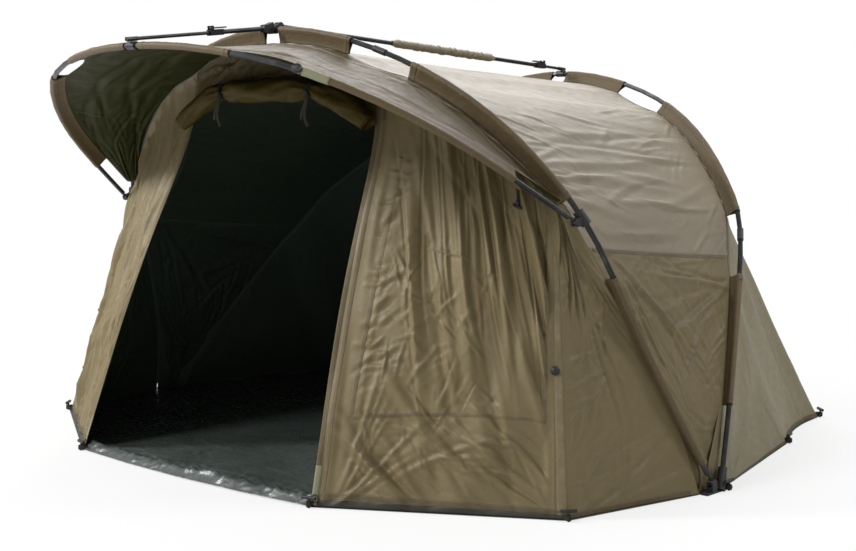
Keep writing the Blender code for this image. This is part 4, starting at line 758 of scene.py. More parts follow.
class Creases:
    """Heights over a grid of flat coordinates, built up from scattered folds."""

    REACH = 1.9             # in lengths, how far from its middle a fold is worked out
    TAPER = 1.5
    VALLEY_SHARE = 0.55     # of the ridge's height
    VALLEY_AWAY = 1.5       # from the ridge, in widths
    VALLEY_SPREAD = 1.6
    SIZE_SHARES = (0.55, 1.0)
    FAN_SIZE_SHARES = (0.6, 1.0)
    WIDTH_SHARES = (0.6, 1.2)
    DEPTH_SHARES = (-0.6, 1.0)
    FAN_DEPTH_SHARES = (-0.5, 1.0)
    BEND = 0.8
    FAN_BEND = 0.5
    BEND_LENGTH = 0.14      # longer folds bend less

    def __init__(self, x, y, seed, wide=1.0, long=1.0):
        self.x = x
        self.y = y
        self.wide = wide
        self.long = long
        self.height = np.zeros_like(x)
        self.random = np.random.RandomState(seed)

    def follow(self, recipe):
        """Adds the folds of a table, one row after another."""
        for kind, *values in recipe:
            if kind == "family":
                count, across, down, *rest = values
                region = [on_side(x, self.wide) for x in across] + [on_side(y, self.long) for y in down]
                self.family(count, region, *rest)
            elif kind == "fan":
                count, (x, y), *rest = values
                self.fan(count, (self.wide * x, self.long * y), *rest)
            elif kind == "swell":
                self.swell(*values)
            else:
                self.drape(*values)
        return self

    def fold(self, cx, cy, angle, length, width, depth, bend=0.0):
        """One fold: a ridge with a shallow valley beside it, fading towards both ends."""
        reach = self.REACH * length
        near = (np.abs(self.x - cx) < reach) & (np.abs(self.y - cy) < reach)
        dx = self.x[near] - cx
        dy = self.y[near] - cy
        along = dx * math.cos(angle) + dy * math.sin(angle)
        across = dy * math.cos(angle) - dx * math.sin(angle) + bend * along ** 2
        taper = np.clip(1 - (along / length) ** 2, 0.0, 1.0) ** self.TAPER
        across = across / width
        valley = np.exp(-(across - self.VALLEY_AWAY) ** 2 / self.VALLEY_SPREAD)
        ridge = np.exp(-across ** 2) - self.VALLEY_SHARE * valley
        self.height[near] += depth * taper * ridge

    def family(self, count, region, angle, spread, length, width, depth):
        """Scattered folds that run roughly one way; region is x and y from low to high."""
        draw = self.random.uniform
        for _ in range(count):
            size = draw(*self.SIZE_SHARES)
            self.fold(draw(region[0], region[1]), draw(region[2], region[3]),
                      angle + draw(-spread, spread), length * size,
                      width * draw(*self.WIDTH_SHARES), depth * draw(*self.DEPTH_SHARES) * size,
                      draw(-self.BEND, self.BEND) * min(1.0, self.BEND_LENGTH / length))

    def fan(self, count, centre, angles, radii, length, width, depth):
        """Folds that run out of one point, as where cloth is pulled tight to a corner."""
        draw = self.random.uniform
        for _ in range(count):
            angle = draw(*angles)
            radius = draw(*radii)
            size = draw(*self.FAN_SIZE_SHARES)
            self.fold(centre[0] + radius * math.cos(angle), centre[1] + radius * math.sin(angle), angle,
                      length * size, width * draw(*self.WIDTH_SHARES),
                      depth * draw(*self.FAN_DEPTH_SHARES) * size, draw(-self.FAN_BEND, self.FAN_BEND))

    def swell(self, depth, scale, terms=7):
        """Slow waves in every direction."""
        for _ in range(terms):
            turn = self.random.uniform(0, math.tau)
            rate = math.tau / (scale * self.random.uniform(0.6, 1.6))
            phase = self.random.uniform(0, math.tau)
            wave = np.sin((self.x * math.cos(turn) + self.y * math.sin(turn)) * rate + phase)
            self.height += depth / math.sqrt(terms) * wave

    def drape(self, depth, spacing, lean=0.0, terms=4):
        """Long folds that hang down the sheet, wandering and dying away here and there."""
        draw = self.random.uniform
        for _ in range(terms):
            apart = spacing * draw(0.7, 1.5)
            wander = 0.35 * apart * np.sin(self.y * math.tau / draw(0.5, 1.1) + draw(0, math.tau))
            slope = lean * self.y * draw(0.6, 1.4)
            place = (self.x + slope + wander) * math.pi / apart + draw(0, math.tau)
            along = self.y * math.tau / draw(0.6, 1.6)
            strength = 0.5 + 0.5 * np.sin(along + self.x * draw(2, 9) + draw(0, math.tau))
            self.height += depth / math.sqrt(terms) * strength * (1 - 2 * np.abs(np.sin(place)) ** 0.75)


def grid_steps(points, axis):
    """Flat coordinates along one side of a grid, the same for the whole sheet."""
    gaps = np.linalg.norm(np.diff(points, axis=axis), axis=2).mean(axis=1 - axis)
    return np.concatenate(([0.0], np.cumsum(gaps)))


def middle_of(grid):
    return grid[grid.shape[0] // 2, grid.shape[1] // 2]


def grid_normals(points, outside):
    """Normals of a grid, turned so that the middle one looks to a side."""
    normals = np.cross(np.gradient(points, axis=1), np.gradient(points, axis=0))
    normals = normals / np.maximum(np.linalg.norm(normals, axis=2, keepdims=True), TINY)
    return normals if middle_of(normals) @ np.array(outside) > 0 else -normals


class Patch:
    """A sheet on a grid of points, rows by columns, with flat coordinates in metres."""

    def __init__(self, points, normals, columns, rows, area=None):
        self.points = points
        self.normals = normals
        self.columns = columns
        self.rows = rows
        self.area = self.measure() if area is None else area

    @classmethod
    def through(cls, points, outside):
        """A sheet through a grid of points, measured out from it."""
        return cls(points, grid_normals(points, outside), grid_steps(points, 1), grid_steps(points, 0))

    def measure(self):
        a = self.points[1:, :-1] - self.points[:-1, :-1]
        b = self.points[:-1, 1:] - self.points[:-1, :-1]
        return float(np.linalg.norm(np.cross(a, b), axis=2).sum())

    @property
    def width(self):
        return float(self.columns[-1])

    @property
    def length(self):
        return float(self.rows[-1])

    def facing(self, outside):
        """The same sheet with its outer face to a side."""
        if middle_of(self.normals) @ np.array(outside) < 0:
            self.normals = -self.normals
        return self

    def creases(self, seed):
        x, y = np.meshgrid(self.columns, self.rows)
        return Creases(x, y, SEEDS[seed], self.width, self.length)

    def press(self, creases):
        """Pushes the sheet out by the creases' height, less towards its seams."""
        x, y = creases.x, creases.y
        edge = np.minimum.reduce([x, self.width - x, y, self.length - y])
        fade = smooth(edge / FADE)
        self.points = self.points + self.normals * (creases.height * fade)[..., None]
        self.normals = grid_normals(self.points, middle_of(self.normals))
        return self

    def folded(self, seed, recipe):
        return self.press(self.creases(seed).follow(recipe))

    def mirrored(self):
        across = np.array([-1.0, 1.0, 1.0])
        return Patch(self.points * across, self.normals * across, self.columns, self.rows, self.area)

    def at(self, x, y):
        """The point and the normal at flat coordinates."""
        column = np.interp(x, self.columns, np.arange(len(self.columns)))
        row = np.interp(y, self.rows, np.arange(len(self.rows)))
        c = min(int(column), len(self.columns) - 2)
        r = min(int(row), len(self.rows) - 2)
        u = column - c
        v = row - r
        found = []
        for grid in (self.points, self.normals):
            upper = grid[r, c] * (1 - u) + grid[r, c + 1] * u
            lower = grid[r + 1, c] * (1 - u) + grid[r + 1, c + 1] * u
            found.append(upper * (1 - v) + lower * v)
        return found[0], found[1] / np.linalg.norm(found[1])


# Meshes

def grid_faces(rows, columns, wrap):
    across = columns if wrap else columns - 1
    r, c = np.meshgrid(np.arange(rows - 1), np.arange(across), indexing="ij")
    after = (c + 1) % columns
    corners = [r * columns + c, r * columns + after, (r + 1) * columns + after, (r + 1) * columns + c]
    return np.stack(corners, axis=-1).reshape(-1, 4)


def rim_faces(rows, columns, wrap, offset):
    """Faces that join the outer sheet's border to the inner sheet's."""
    top = list(range(columns))
    bottom = [(rows - 1) * columns + c for c in range(columns)]
    left = [r * columns for r in range(rows)]
    right = [r * columns + columns - 1 for r in range(rows)]
    if wrap:
        borders = [(top + [top[0]], True), (bottom + [bottom[0]], False)]
    else:
        borders = [(top, True), (bottom, False), (left, False), (right, True)]
    faces = []
    for line, turned in borders:
        for a, b in zip(line, line[1:]):
            face = (b, a, a + offset, b + offset)
            faces.append(face if turned else face[::-1])
    return faces


def make_mesh(name, vertices, faces, coordinates, slots, materials):
    mesh = bpy.data.meshes.new(name)
    mesh.from_pydata(vertices.tolist(), [], [tuple(int(v) for v in face) for face in faces])
    for paint in materials:
        mesh.materials.append(paint)
    mesh.polygons.foreach_set("material_index", np.asarray(slots, dtype=np.int32))
    layer = mesh.uv_layers.new(name="flat")
    loops = np.zeros(len(mesh.loops), dtype=np.int32)
    mesh.loops.foreach_get("vertex_index", loops)
    layer.data.foreach_set("uv", coordinates[loops].astype(np.float32).ravel())
    mesh.shade_smooth()
    mesh.update()
    obj = bpy.data.objects.new(name, mesh)
    bpy.context.scene.collection.objects.link(obj)
    return obj


def sheet_object(name, patch, outer, inner=None, thickness=CLOTH, wrap=False):
    """A sheet with two faces and a rim; the inner face may have its own material."""
    rows, columns = patch.points.shape[:2]
    outside = patch.points.reshape(-1, 3)
    within = outside - patch.normals.reshape(-1, 3) * thickness
    faces = grid_faces(rows, columns, wrap)
    flip = facing_in(patch, faces)
    if flip:
        faces = faces[:, ::-1]
    back = faces[:, ::-1] + rows * columns
    rim = np.array(rim_faces(rows, columns, wrap, rows * columns))
    if flip:
        rim = rim[:, ::-1]
    everything = np.concatenate([faces, back, rim])
    slots = np.concatenate([np.zeros(len(faces)), np.ones(len(back)), np.zeros(len(rim))])
    x, y = np.meshgrid(patch.columns, patch.rows)
    flat = np.stack([x.ravel(), y.ravel()], axis=1)
    return make_mesh(name, np.concatenate([outside, within]), everything, np.concatenate([flat, flat]),
                     slots, [outer, inner or outer])


def facing_in(patch, faces):
    middle = faces[len(faces) // 2]
    points = patch.points.reshape(-1, 3)
    normal = np.cross(points[middle[1]] - points[middle[0]], points[middle[3]] - points[middle[0]])
    return normal @ patch.normals.reshape(-1, 3)[middle[0]] < 0


def dress(name, node, patch, paints, slot, hold, held, rests_on, **shape):
    made = sheet_object(name, patch, *paints, **shape)
    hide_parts(node)
    hold(made)


def unit(vectors):
    return vectors / np.maximum(np.linalg.norm(vectors, axis=-1, keepdims=True), TINY)


def ribbon(name, centres, normals, width, paint, rise=RIBBON_RISE, step=RIBBON_STEP):
    """A tape along a line of points, laid on the side that its normals point to."""
    centres = np.asarray(centres, dtype=float)
    along = run_lengths(centres)
    wanted = np.linspace(0.0, along[-1], max(int(along[-1] / step), 2) + 1)
    line = np.stack([np.interp(wanted, along, centres[:, k]) for k in range(3)], axis=1)
    up = np.stack([np.interp(wanted, along, np.asarray(normals)[:, k]) for k in range(3)], axis=1)
    direction = np.gradient(line, axis=0)
    side = unit(np.cross(up, direction))
    up = unit(np.cross(direction, side))[:, None, :]
    across = TAPE_SHARES * width
    points = line[:, None, :] + side[:, None, :] * across[:, None] + up * (TAPE_LIFTS * rise)[:, None]
    laid = Patch(points, np.repeat(up, len(across), axis=1), across, wanted)
    return sheet_object(name, laid, paint, thickness=max(rise, THINNEST))


def tape(name, patch, path, width, paint, rise=RIBBON_RISE):
    """A tape along a path of flat coordinates, which follows the folds of the cloth under it."""
    path = np.asarray(path, dtype=float)
    along = run_lengths(path)
    wanted = np.linspace(0.0, along[-1], max(int(along[-1] / TAPE_STEP), 2) + 1)
    spots = np.stack([np.interp(wanted, along, path[:, k]) for k in range(2)], axis=1)
    flow = np.gradient(spots, axis=0)
    flow /= np.linalg.norm(flow, axis=1, keepdims=True)
    side = np.stack([flow[:, 1], -flow[:, 0]], axis=1)
    points = np.zeros((len(wanted), len(TAPE_SHARES), 3))
    normals = np.zeros_like(points)
    for r, spot in enumerate(spots):
        for c, (share, lift) in enumerate(zip(TAPE_SHARES, TAPE_LIFTS * rise)):
            point, normals[r, c] = patch.at(*(spot + side[r] * share * width))
            points[r, c] = point + normals[r, c] * lift
    laid = Patch(points, normals, TAPE_SHARES * width, wanted)
    return sheet_object(name, laid, paint, thickness=max(rise, THINNEST))


def from_edges(patch, *places):
    """Flat coordinates of places given in metres from the near edges, or below nought from the far."""
    return [(x if x >= 0 else patch.width + x, y if y >= 0 else patch.length + y) for x, y in places]


# Materials

def rgb(*color):
    return (*color, 1.0)


class Paint:
    """A material's node tree, built up a step at a time."""

    def __init__(self, name, color, roughness, metallic=0.0, specular=0.5):
        self.made = bpy.data.materials.new(name)
        self.made.use_nodes = True
        self.nodes = self.made.node_tree.nodes
        self.links = self.made.node_tree.links
        self.shader = self.nodes["Principled BSDF"]
        self.shader.inputs["Base Color"].default_value = rgb(*color)
        self.shader.inputs["Roughness"].default_value = roughness
        self.shader.inputs["Metallic"].default_value = metallic
        self.shader.inputs["Specular IOR Level"].default_value = specular
        self.normal = None
        self.tinted = None
        self.where = self.add("ShaderNodeTexCoord")

    def add(self, kind, **settings):
        node = self.nodes.new(kind)
        for key, value in settings.items():
            setattr(node, key, value)
        return node

    def feed(self, value, target):
        """Joins a socket to a target, or sets a plain number or colour on it."""
        if isinstance(value, bpy.types.NodeSocket):
            self.links.new(value, target)
        else:
            target.default_value = rgb(*value) if isinstance(value, tuple) else value

    def space(self, stretch=(1.0, 1.0, 1.0), flat=False):
        spot = self.add("ShaderNodeMapping")
        spot.inputs["Scale"].default_value = stretch
        self.feed(self.where.outputs["UV" if flat else "Object"], spot.inputs["Vector"])
        return spot.outputs["Vector"]

    def axes(self, space):
        """The coordinates of a point, one by one."""
        split = self.add("ShaderNodeSeparateXYZ")
        self.feed(self.where.outputs[space], split.inputs["Vector"])
        return split.outputs["X"], split.outputs["Y"]

    def noise(self, scale, detail=3.0, rough=0.55, vector=None, kind="FBM"):
        node = self.add("ShaderNodeTexNoise", noise_type=kind)
        node.inputs["Scale"].default_value = scale
        node.inputs["Detail"].default_value = detail
        node.inputs["Roughness"].default_value = rough
        self.feed(vector or self.where.outputs["Object"], node.inputs["Vector"])
        return node.outputs["Fac"]

    def bands(self, direction, scale, distortion):
        """Even stripes on the cloth's flat coordinates."""
        node = self.add("ShaderNodeTexWave", wave_type="BANDS", bands_direction=direction)
        node.inputs["Scale"].default_value = scale
        node.inputs["Distortion"].default_value = distortion
        self.feed(self.space(flat=True), node.inputs["Vector"])
        return node.outputs["Fac"]

    def ramp(self, source, low, high, from_low=0.3, from_high=0.7):
        node = self.add("ShaderNodeMapRange")
        node.inputs["From Min"].default_value = from_low
        node.inputs["From Max"].default_value = from_high
        node.inputs["To Min"].default_value = low
        node.inputs["To Max"].default_value = high
        self.feed(source, node.inputs["Value"])
        return node.outputs["Result"]

    def mix(self, share, first, second):
        """A colour between two, which are colours or sockets."""
        node = self.add("ShaderNodeMix", data_type="RGBA")
        self.feed(share, node.inputs["Factor"])
        self.feed(first, node.inputs[6])
        self.feed(second, node.inputs[7])
        return node.outputs[2]

    def math(self, operation, *values):
        node = self.add("ShaderNodeMath", operation=operation)
        for value, socket in zip(values, node.inputs):
            self.feed(value, socket)
        return node.outputs["Value"]

    def bump(self, height, distance, strength=1.0):
        node = self.add("ShaderNodeBump")
        node.inputs["Strength"].default_value = strength
        node.inputs["Distance"].default_value = distance
        self.feed(height, node.inputs["Height"])
        if self.normal is not None:
            self.feed(self.normal, node.inputs["Normal"])
        self.normal = node.outputs["Normal"]
        self.feed(self.normal, self.shader.inputs["Normal"])

    def tint(self, socket):
        self.tinted = socket
        self.feed(socket, self.shader.inputs["Base Color"])

    def gloss(self, socket):
        self.feed(socket, self.shader.inputs["Roughness"])

    def stitches(self, rows, along, pitch, gap):
        """Dashes along rows of thread."""
        dash = self.math("SINE", self.math("MULTIPLY", along, math.tau / pitch), 0.0)
        return self.math("MULTIPLY", rows, self.math("GREATER_THAN", dash, gap))

    def weave(self, pitch, depth, strength):
        """Warp and weft threads, on the cloth's own flat coordinates."""
        waves = [self.bands(way, 1.0 / (pitch * math.tau) * math.pi, WEAVE_DISTORTION) for way in "XY"]
        self.bump(self.math("MULTIPLY", *waves), depth, strength)


def shade_of(color, factor):
    return tuple(min(c * factor, 1.0) for c in color)


def woven(name, color, roughness, worn=0.16, crinkle=0.0028, crinkle_scale=11.0, sheen=0.15, specular=0.5):
    """Coated tent fabric: weave, handling crinkles, faded folds and a faint sheen."""
    paint = Paint(name, color, roughness, specular=specular)
    paint.shader.inputs["Sheen Weight"].default_value = sheen
    paint.shader.inputs["Sheen Roughness"].default_value = SHEEN_ROUGHNESS
    broad = paint.noise(scale=1.7, detail=4.0)
    fine = paint.noise(scale=38.0, detail=4.0, rough=0.65)
    faded = paint.mix(paint.ramp(broad, 0.0, 1.0), shade_of(color, 1 - worn), shade_of(color, 1 + worn))
    fleck = paint.ramp(fine, 0.0, 1.0, from_low=0.35, from_high=0.65)
    flecked = paint.mix(fleck, shade_of(color, 1 - FLECK_SHARE), shade_of(color, 1 + FLECK_SHARE))
    paint.tint(paint.mix(0.4, faded, flecked))
    crumple = paint.noise(crinkle_scale, detail=3.0, rough=0.5, kind="RIDGED_MULTIFRACTAL")
    soft = paint.noise(crinkle_scale * FINER, detail=4.0, rough=0.6,
                       vector=paint.space(stretch=(1.0, 0.6, 1.5)))
    paint.gloss(paint.ramp(soft, roughness - 0.07, roughness + 0.09))
    paint.bump(crumple, crinkle, strength=0.6)
    paint.bump(soft, crinkle * 0.8, strength=0.8)
    paint.weave(CLOTH_PITCH, WEAVE_DEPTH, strength=0.6)
    return paint


def cloth_paint(*looks, **settings):
    return woven(*looks, **settings).made


def stitched_paint(name, color, roughness, width):
    """Sewn tape: a ribbed weave with a row of stitches near each edge."""
    paint = Paint(name, color, roughness, specular=0.3)
    across, along = paint.axes("UV")
    rows = paint.math("COMPARE", paint.math("ABSOLUTE", across, 0.0), width * STITCH_SHARE, STITCH_HALF)
    stitch = paint.stitches(rows, along, STITCH_PITCH, gap=-0.35)
    grime = paint.ramp(paint.noise(scale=30.0, detail=4.0, rough=0.6), 0.0, 1.0)
    grime = paint.mix(grime, shade_of(color, 0.82), shade_of(color, 1.16))
    paint.tint(paint.mix(stitch, grime, shade_of(color, 1.9)))
    paint.bump(stitch, STITCH_DEPTH, strength=0.8)
    paint.weave(TAPE_PITCH, TAPE_WEAVE_DEPTH, strength=0.8)
    return paint.made


def sleeve_paint(name, color, roughness):
    """Sleeve fabric with a row of stitches under the tube on both sides of the web."""
    paint = woven(name, color, roughness, worn=0.2, crinkle=0.0022, crinkle_scale=26.0, sheen=0.05,
                  specular=0.4)
    across, along = paint.axes("UV")
    rows = [paint.math("COMPARE", across, place, SLEEVE_STITCH_HALF) for place in STITCH_PLACES]
    both = paint.math("MAXIMUM", *rows)
    stitch = paint.stitches(both, along, SLEEVE_STITCH_PITCH, gap=-0.3)
    paint.tint(paint.mix(stitch, paint.tinted, shade_of(color, 0.45)))
    paint.bump(paint.math("MULTIPLY", both, -1.0), SLEEVE_GROOVE, strength=0.8)
    return paint.made


def webbing_paint(name, color):
    paint = Paint(name, color, roughness=0.62, specular=0.15)
    rib = paint.bands("Y", scale=170.0, distortion=1.2)
    worn = paint.ramp(paint.noise(scale=55.0, detail=5.0, rough=0.6), 0.0, 1.0)
    paint.tint(paint.mix(worn, shade_of(color, 0.75), shade_of(color, 1.35)))
    paint.bump(rib, RIB_DEPTH, strength=0.8)
    return paint.made


def tube_paint():
    """Anodised tube: long draw marks and rubbed places."""
    paint = Paint("tube_gunmetal", (0.030, 0.031, 0.033), roughness=0.36, metallic=0.60)
    drawn = paint.noise(scale=60.0, detail=4.0, rough=0.7, vector=paint.space(stretch=(1.0, 1.0, 8.0)))
    worn = paint.noise(scale=9.0, detail=5.0, rough=0.7)
    rubbed = paint.ramp(worn, 0.0, 1.0, from_low=0.5, from_high=0.72)
    paint.tint(paint.mix(rubbed, (0.024, 0.025, 0.027), (0.070, 0.070, 0.069)))
    paint.gloss(paint.ramp(drawn, low=0.26, high=0.46))
    paint.bump(drawn, DRAW_DEPTH, strength=0.4)
    return paint.made


def moulding_paint(name, color, roughness, grain=900.0):
    """Moulded plastic: fine spark grain and paler scuffed patches."""
    paint = Paint(name, color, roughness, specular=0.45)
    worn = paint.noise(scale=70.0, detail=6.0, rough=0.7)
    scuffed = paint.ramp(worn, 0.0, 1.0, from_low=0.48, from_high=0.72)
    paint.tint(paint.mix(scuffed, color, tuple(c * 1.8 + SCUFF_LIGHT for c in color)))
    paint.gloss(paint.ramp(paint.noise(scale=120.0, detail=4.0), roughness - 0.08, roughness + 0.12))
    paint.bump(paint.noise(grain, detail=2.0, rough=0.5), GRAIN_DEPTH, strength=0.7)
    paint.bump(paint.noise(scale=24.0, detail=3.0, rough=0.6), SCUFF_DEPTH, strength=0.3)
    return paint.made


def groundsheet_paint():
    """Heavy coated sheet: wet-looking creases over a dull grey-green weave, and a painted highlight along
    its front lip.
    """
    paint = Paint("groundsheet_film", (0.080, 0.094, 0.090), roughness=0.34, specular=0.4)
    broad = paint.ramp(paint.noise(scale=3.0, detail=5.0, rough=0.6), 0.0, 1.0)
    dusty = paint.mix(broad, (0.042, 0.052, 0.046), (0.085, 0.100, 0.091))
    _, depth = paint.axes("Object")
    # Painted highlight: the front lip is paler, broken up by noise.
    lip = paint.ramp(depth, 1.0, 0.0, DOOR_FOOT[1] - LIP_HIGHLIGHT_AHEAD, DOOR_FOOT[1] + LIP_HIGHLIGHT_BEHIND)
    lip_highlight_breakup = paint.ramp(paint.noise(scale=22.0, detail=5.0, rough=0.65), low=0.45, high=1.0)
    paint.tint(paint.mix(paint.math("MULTIPLY", lip, lip_highlight_breakup), dusty, (0.085, 0.098, 0.096)))
    crease = paint.noise(scale=16.0, detail=4.0, rough=0.6, kind="RIDGED_MULTIFRACTAL")
    small = paint.noise(scale=48.0, detail=4.0, rough=0.65)
    paint.gloss(paint.ramp(small, low=0.20, high=0.42))
    paint.bump(crease, FILM_CREASE_DEPTH, strength=0.5)
    paint.bump(small, FILM_RIPPLE_DEPTH, strength=0.5)
    paint.weave(FILM_PITCH, FILM_WEAVE_DEPTH, strength=0.5)
    return paint.made


# The roof's and bar wrap's cloth: the walls' fabric painted paler, as painted light from above.
LIT_CANOPY = cloth_paint("canopy_cloth", (0.225, 0.184, 0.124), roughness=0.44, specular=0.50, sheen=0.06)
REAR_CLOTH = cloth_paint("rear_cloth", (0.190, 0.162, 0.088), roughness=0.48, specular=0.4, sheen=0.05)
# The hood's outer cloth: the same fabric painted darker, as painted shade.
SHADED_HOOD = cloth_paint("hood_cloth", (0.086, 0.065, 0.031), roughness=0.50, specular=0.32, crinkle=0.0036,
                   sheen=0.03)
WALL = cloth_paint("wall_cloth", (0.160, 0.124, 0.058), roughness=0.50, crinkle=0.0034,
                   crinkle_scale=9.0, sheen=0.04, specular=0.35)
SLEEVE = sleeve_paint("sleeve_cloth", (0.098, 0.067, 0.029), roughness=0.58)
# Inner faces: a green-grey tone, kept dark as painted shade for the shaded inside of the tent.
SHADED_LINING = cloth_paint("dark_lining", (0.070, 0.092, 0.066), roughness=0.55, crinkle=0.003, sheen=0.0,
                     specular=0.3)
# The hood's underside: near-black olive, painted shade under the hood.
SHADED_HOOD_LINING = cloth_paint("hood_lining", (0.023, 0.025, 0.004), roughness=0.54, crinkle=0.0050,
                          crinkle_scale=8.0, sheen=0.0, specular=0.12)
ROLL = cloth_paint("rolled_cloth", (0.054, 0.039, 0.007), roughness=0.60, crinkle=0.0045,
                   crinkle_scale=20.0, sheen=0.0, specular=0.12)
# The header: brown cloth, darkened as painted shade from the hood above.
SHADED_HEADER = cloth_paint("header_brown", (0.066, 0.048, 0.015), roughness=0.58, crinkle=0.004,
                     crinkle_scale=18.0, sheen=0.0, specular=0.25)
INNER_TAPE = cloth_paint("inner_seam_tape", (0.120, 0.150, 0.130), roughness=0.50, crinkle=0.002,
                         sheen=0.0)
PATCH = cloth_paint("patch_green", (0.215, 0.215, 0.125), roughness=0.60, crinkle=0.001,
                    crinkle_scale=40.0)
SHEETING = groundsheet_paint()
TUBE = tube_paint()
MOULDING = moulding_paint("black_moulding_grained", (0.014, 0.014, 0.015), roughness=0.44)
PEG = moulding_paint("peg_moulding_grained", (0.012, 0.012, 0.012), roughness=0.50, grain=600.0)
SEAM = stitched_paint("seam_tape", (0.125, 0.100, 0.058), roughness=0.58, width=SEAM_WIDTH)
SEAM_PALE = stitched_paint("seam_tape_canopy", (0.195, 0.165, 0.112), roughness=0.55, width=SEAM_WIDTH)
# A near-black tape along the foot of each front wall.
FOOT_BAND = cloth_paint("mud_flap_cloth", (0.022, 0.019, 0.010), roughness=0.55, crinkle=0.001, sheen=0.0)
BINDING = stitched_paint("hem_binding", (0.108, 0.083, 0.043), roughness=0.60, width=BINDING_WIDTH)
ZIP = stitched_paint("zip_tape", (0.128, 0.099, 0.050), roughness=0.55, width=ZIP_WIDTH)
STRIP = stitched_paint("reinforcement", (0.175, 0.140, 0.074), roughness=0.52, width=STRIP_TAPE_WIDTH)
WEBBING = webbing_paint("webbing_dark", (0.030, 0.027, 0.018))


# Panels between the hoops

def drawn_in(line, places, hoop):
    """An edge line sunk towards the inside where the tube over it runs bare."""
    shares = np.array([hoop.share_of(k) for k in places])
    total = np.zeros(len(shares))
    for low, high in hoop.bare:
        middle = (low + high) / 2
        half = (high - low) / 2
        total += hoop.draw * np.clip(1 - ((shares - middle) / half) ** 2, 0.0, 1.0)
    ways = np.array([tuple(web_frame(hoop, k)[1]) for k in places])
    return line + ways * total[:, None]


def hoop_edge(hoop, points, stations, count):
    """A panel's edge under a hoop, through points at some of its stations."""
    places = np.interp(run_shares(points, count), run_shares(points), stations)
    return drawn_in(edge_line(points, count), places, hoop)


def spanned(front, back, sag, rows):
    """A sheet from one edge line to the other, sagging a little in the middle."""
    span = back - front
    share = np.linspace(0.0, 1.0, rows)[:, None]
    patch = Patch.through(front[None] + span[None] * share[..., None], UP)
    profile = (4 * share * (1 - share)) * np.ones(len(front))
    patch.points = patch.points - patch.normals * (sag * profile)[..., None]
    return patch


def hold_standing(obj):
    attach(obj, STANDING)


def hold_side(obj):
    """Bakes the place of a piece between the rear hoop and the middle one into its mesh."""
    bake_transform(obj)


def hold_front(obj):
    """Bakes the place of a piece between the pegged hem and the middle hoop into its mesh."""
    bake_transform(obj)


def hold_hood(obj):
    """Bakes the place of a piece between the middle hoop and the peak hoop into its mesh."""
    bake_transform(obj)


def roof():
    stations = range(SEAM_STATION, LAST - SEAM_STATION + 1)
    span = MIDDLE.span(stations[0], stations[-1])
    places = np.linspace(stations[0], stations[-1], count_for(span))
    front = edge_line([beside(MIDDLE, k, True) for k in stations], len(places))
    back = edge_line([beside(REAR, k, False) for k in stations], len(places))
    patch = spanned(drawn_in(front, places, MIDDLE), drawn_in(back, places, REAR), ROOF_SAG, ROOF_ROWS)
    patch.folded("roof", ROOF_FOLD_SHARES)
    dress("roof_cloth", "roof_panel", patch, (LIT_CANOPY, SHADED_LINING), "canopy_fabric", hold_side, "stretched",
          ["middle_rib", "rear_rib"])


def hood():
    first = JUNCTION_STATION + 1 - HOOD_START
    stations = [first, *range(JUNCTION_STATION + 1, LAST - JUNCTION_STATION), LAST - first]
    peak_stations = [k - JUNCTION_STATION for k in stations]
    places = np.linspace(first, LAST - first, count_for(MIDDLE.span(first, LAST - first)))
    back = edge_line([beside(MIDDLE, k, False, CLOTH) for k in stations], len(places))
    front = edge_line([PEAK.world(k) + lie(PEAK, k)[1] * (WEB_HIGH - CLOTH) for k in peak_stations],
                      len(places))
    front = drawn_in(front, np.interp(places, stations, peak_stations), PEAK)
    patch = spanned(front, drawn_in(back, places, MIDDLE), HOOD_SAG, HOOD_ROWS)
    patch.folded("hood", HOOD_FOLD_SHARES)
    dress("hood_cloth", "hood_panel", patch, (SHADED_HOOD, SHADED_HOOD_LINING), "canopy_fabric", hold_hood, "stretched",
          ["peak_rib", "middle_rib"])
    seam_y = patch.length * HOOD_SEAM_SHARE
    path = [(HOOD_SEAM_END, seam_y), (patch.width - HOOD_SEAM_END, seam_y)]
    hold_hood(tape("hood_seam", patch, path, HOOD_SEAM_WIDTH, SEAM_PALE))


def side_panel():
    """The right side panel, from the roof's seam down to the pivot block."""
    half_block = BLOCK_LENGTH / 2
    inner_x = HALF_SPAN - SOCKET_RADIUS - SHEET_LIP
    stations = [SIDE_LOW, *range(1, SEAM_STATION + 1)]
    front = [Vector((inner_x, PIVOT_Y - half_block, GROUND))] + [beside(MIDDLE, k, True) for k in stations]
    back = [Vector((inner_x, PIVOT_Y + half_block, GROUND))] + [beside(REAR, k, False) for k in stations]
    count = count_for((front[-1] - front[0]).length)
    front = hoop_edge(MIDDLE, front, [0.0, *stations], count)
    back = hoop_edge(REAR, back, [0.0, *stations], count)
    return spanned(front, back, SIDE_SAG, SIDE_ROWS).facing(RIGHT).folded("side", SIDE_FOLD_SHARES)


def corner_panel():
    """The right-hand triangle between the corner seam and the middle hoop's lower sleeve."""
    stations = [0.0, *range(2, JUNCTION_STATION + 1), CORNER_TOP_STATION]
    hoop_points = [Vector((HALF_SPAN - CHEEK_RADIUS, PIVOT_Y - BLOCK_LENGTH / 2 - SHEET_LIP, GROUND))]
    hoop_points += [beside(MIDDLE, k, False) for k in stations[1:-1]]
    hoop_points.append(beside(MIDDLE, CORNER_TOP_STATION, False, CLOTH))
    foot = Vector((*CORNER_FOOT, GROUND))
    top = Vector(CORNER_TOP)
    last = JUNCTION_STATION - 1
    corner_points = [foot.lerp(top, k / last) for k in range(last + 1)] + [top + CORNER_TOP_LIFT]
    count = count_for((top - foot).length)
    patch = spanned(edge_line(corner_points, count), hoop_edge(MIDDLE, hoop_points, stations, count),
                    CORNER_SAG, CORNER_ROWS)
    return patch.facing(RIGHT).folded("corner", CORNER_FOLD_SHARES)


# Front walls and the doorway

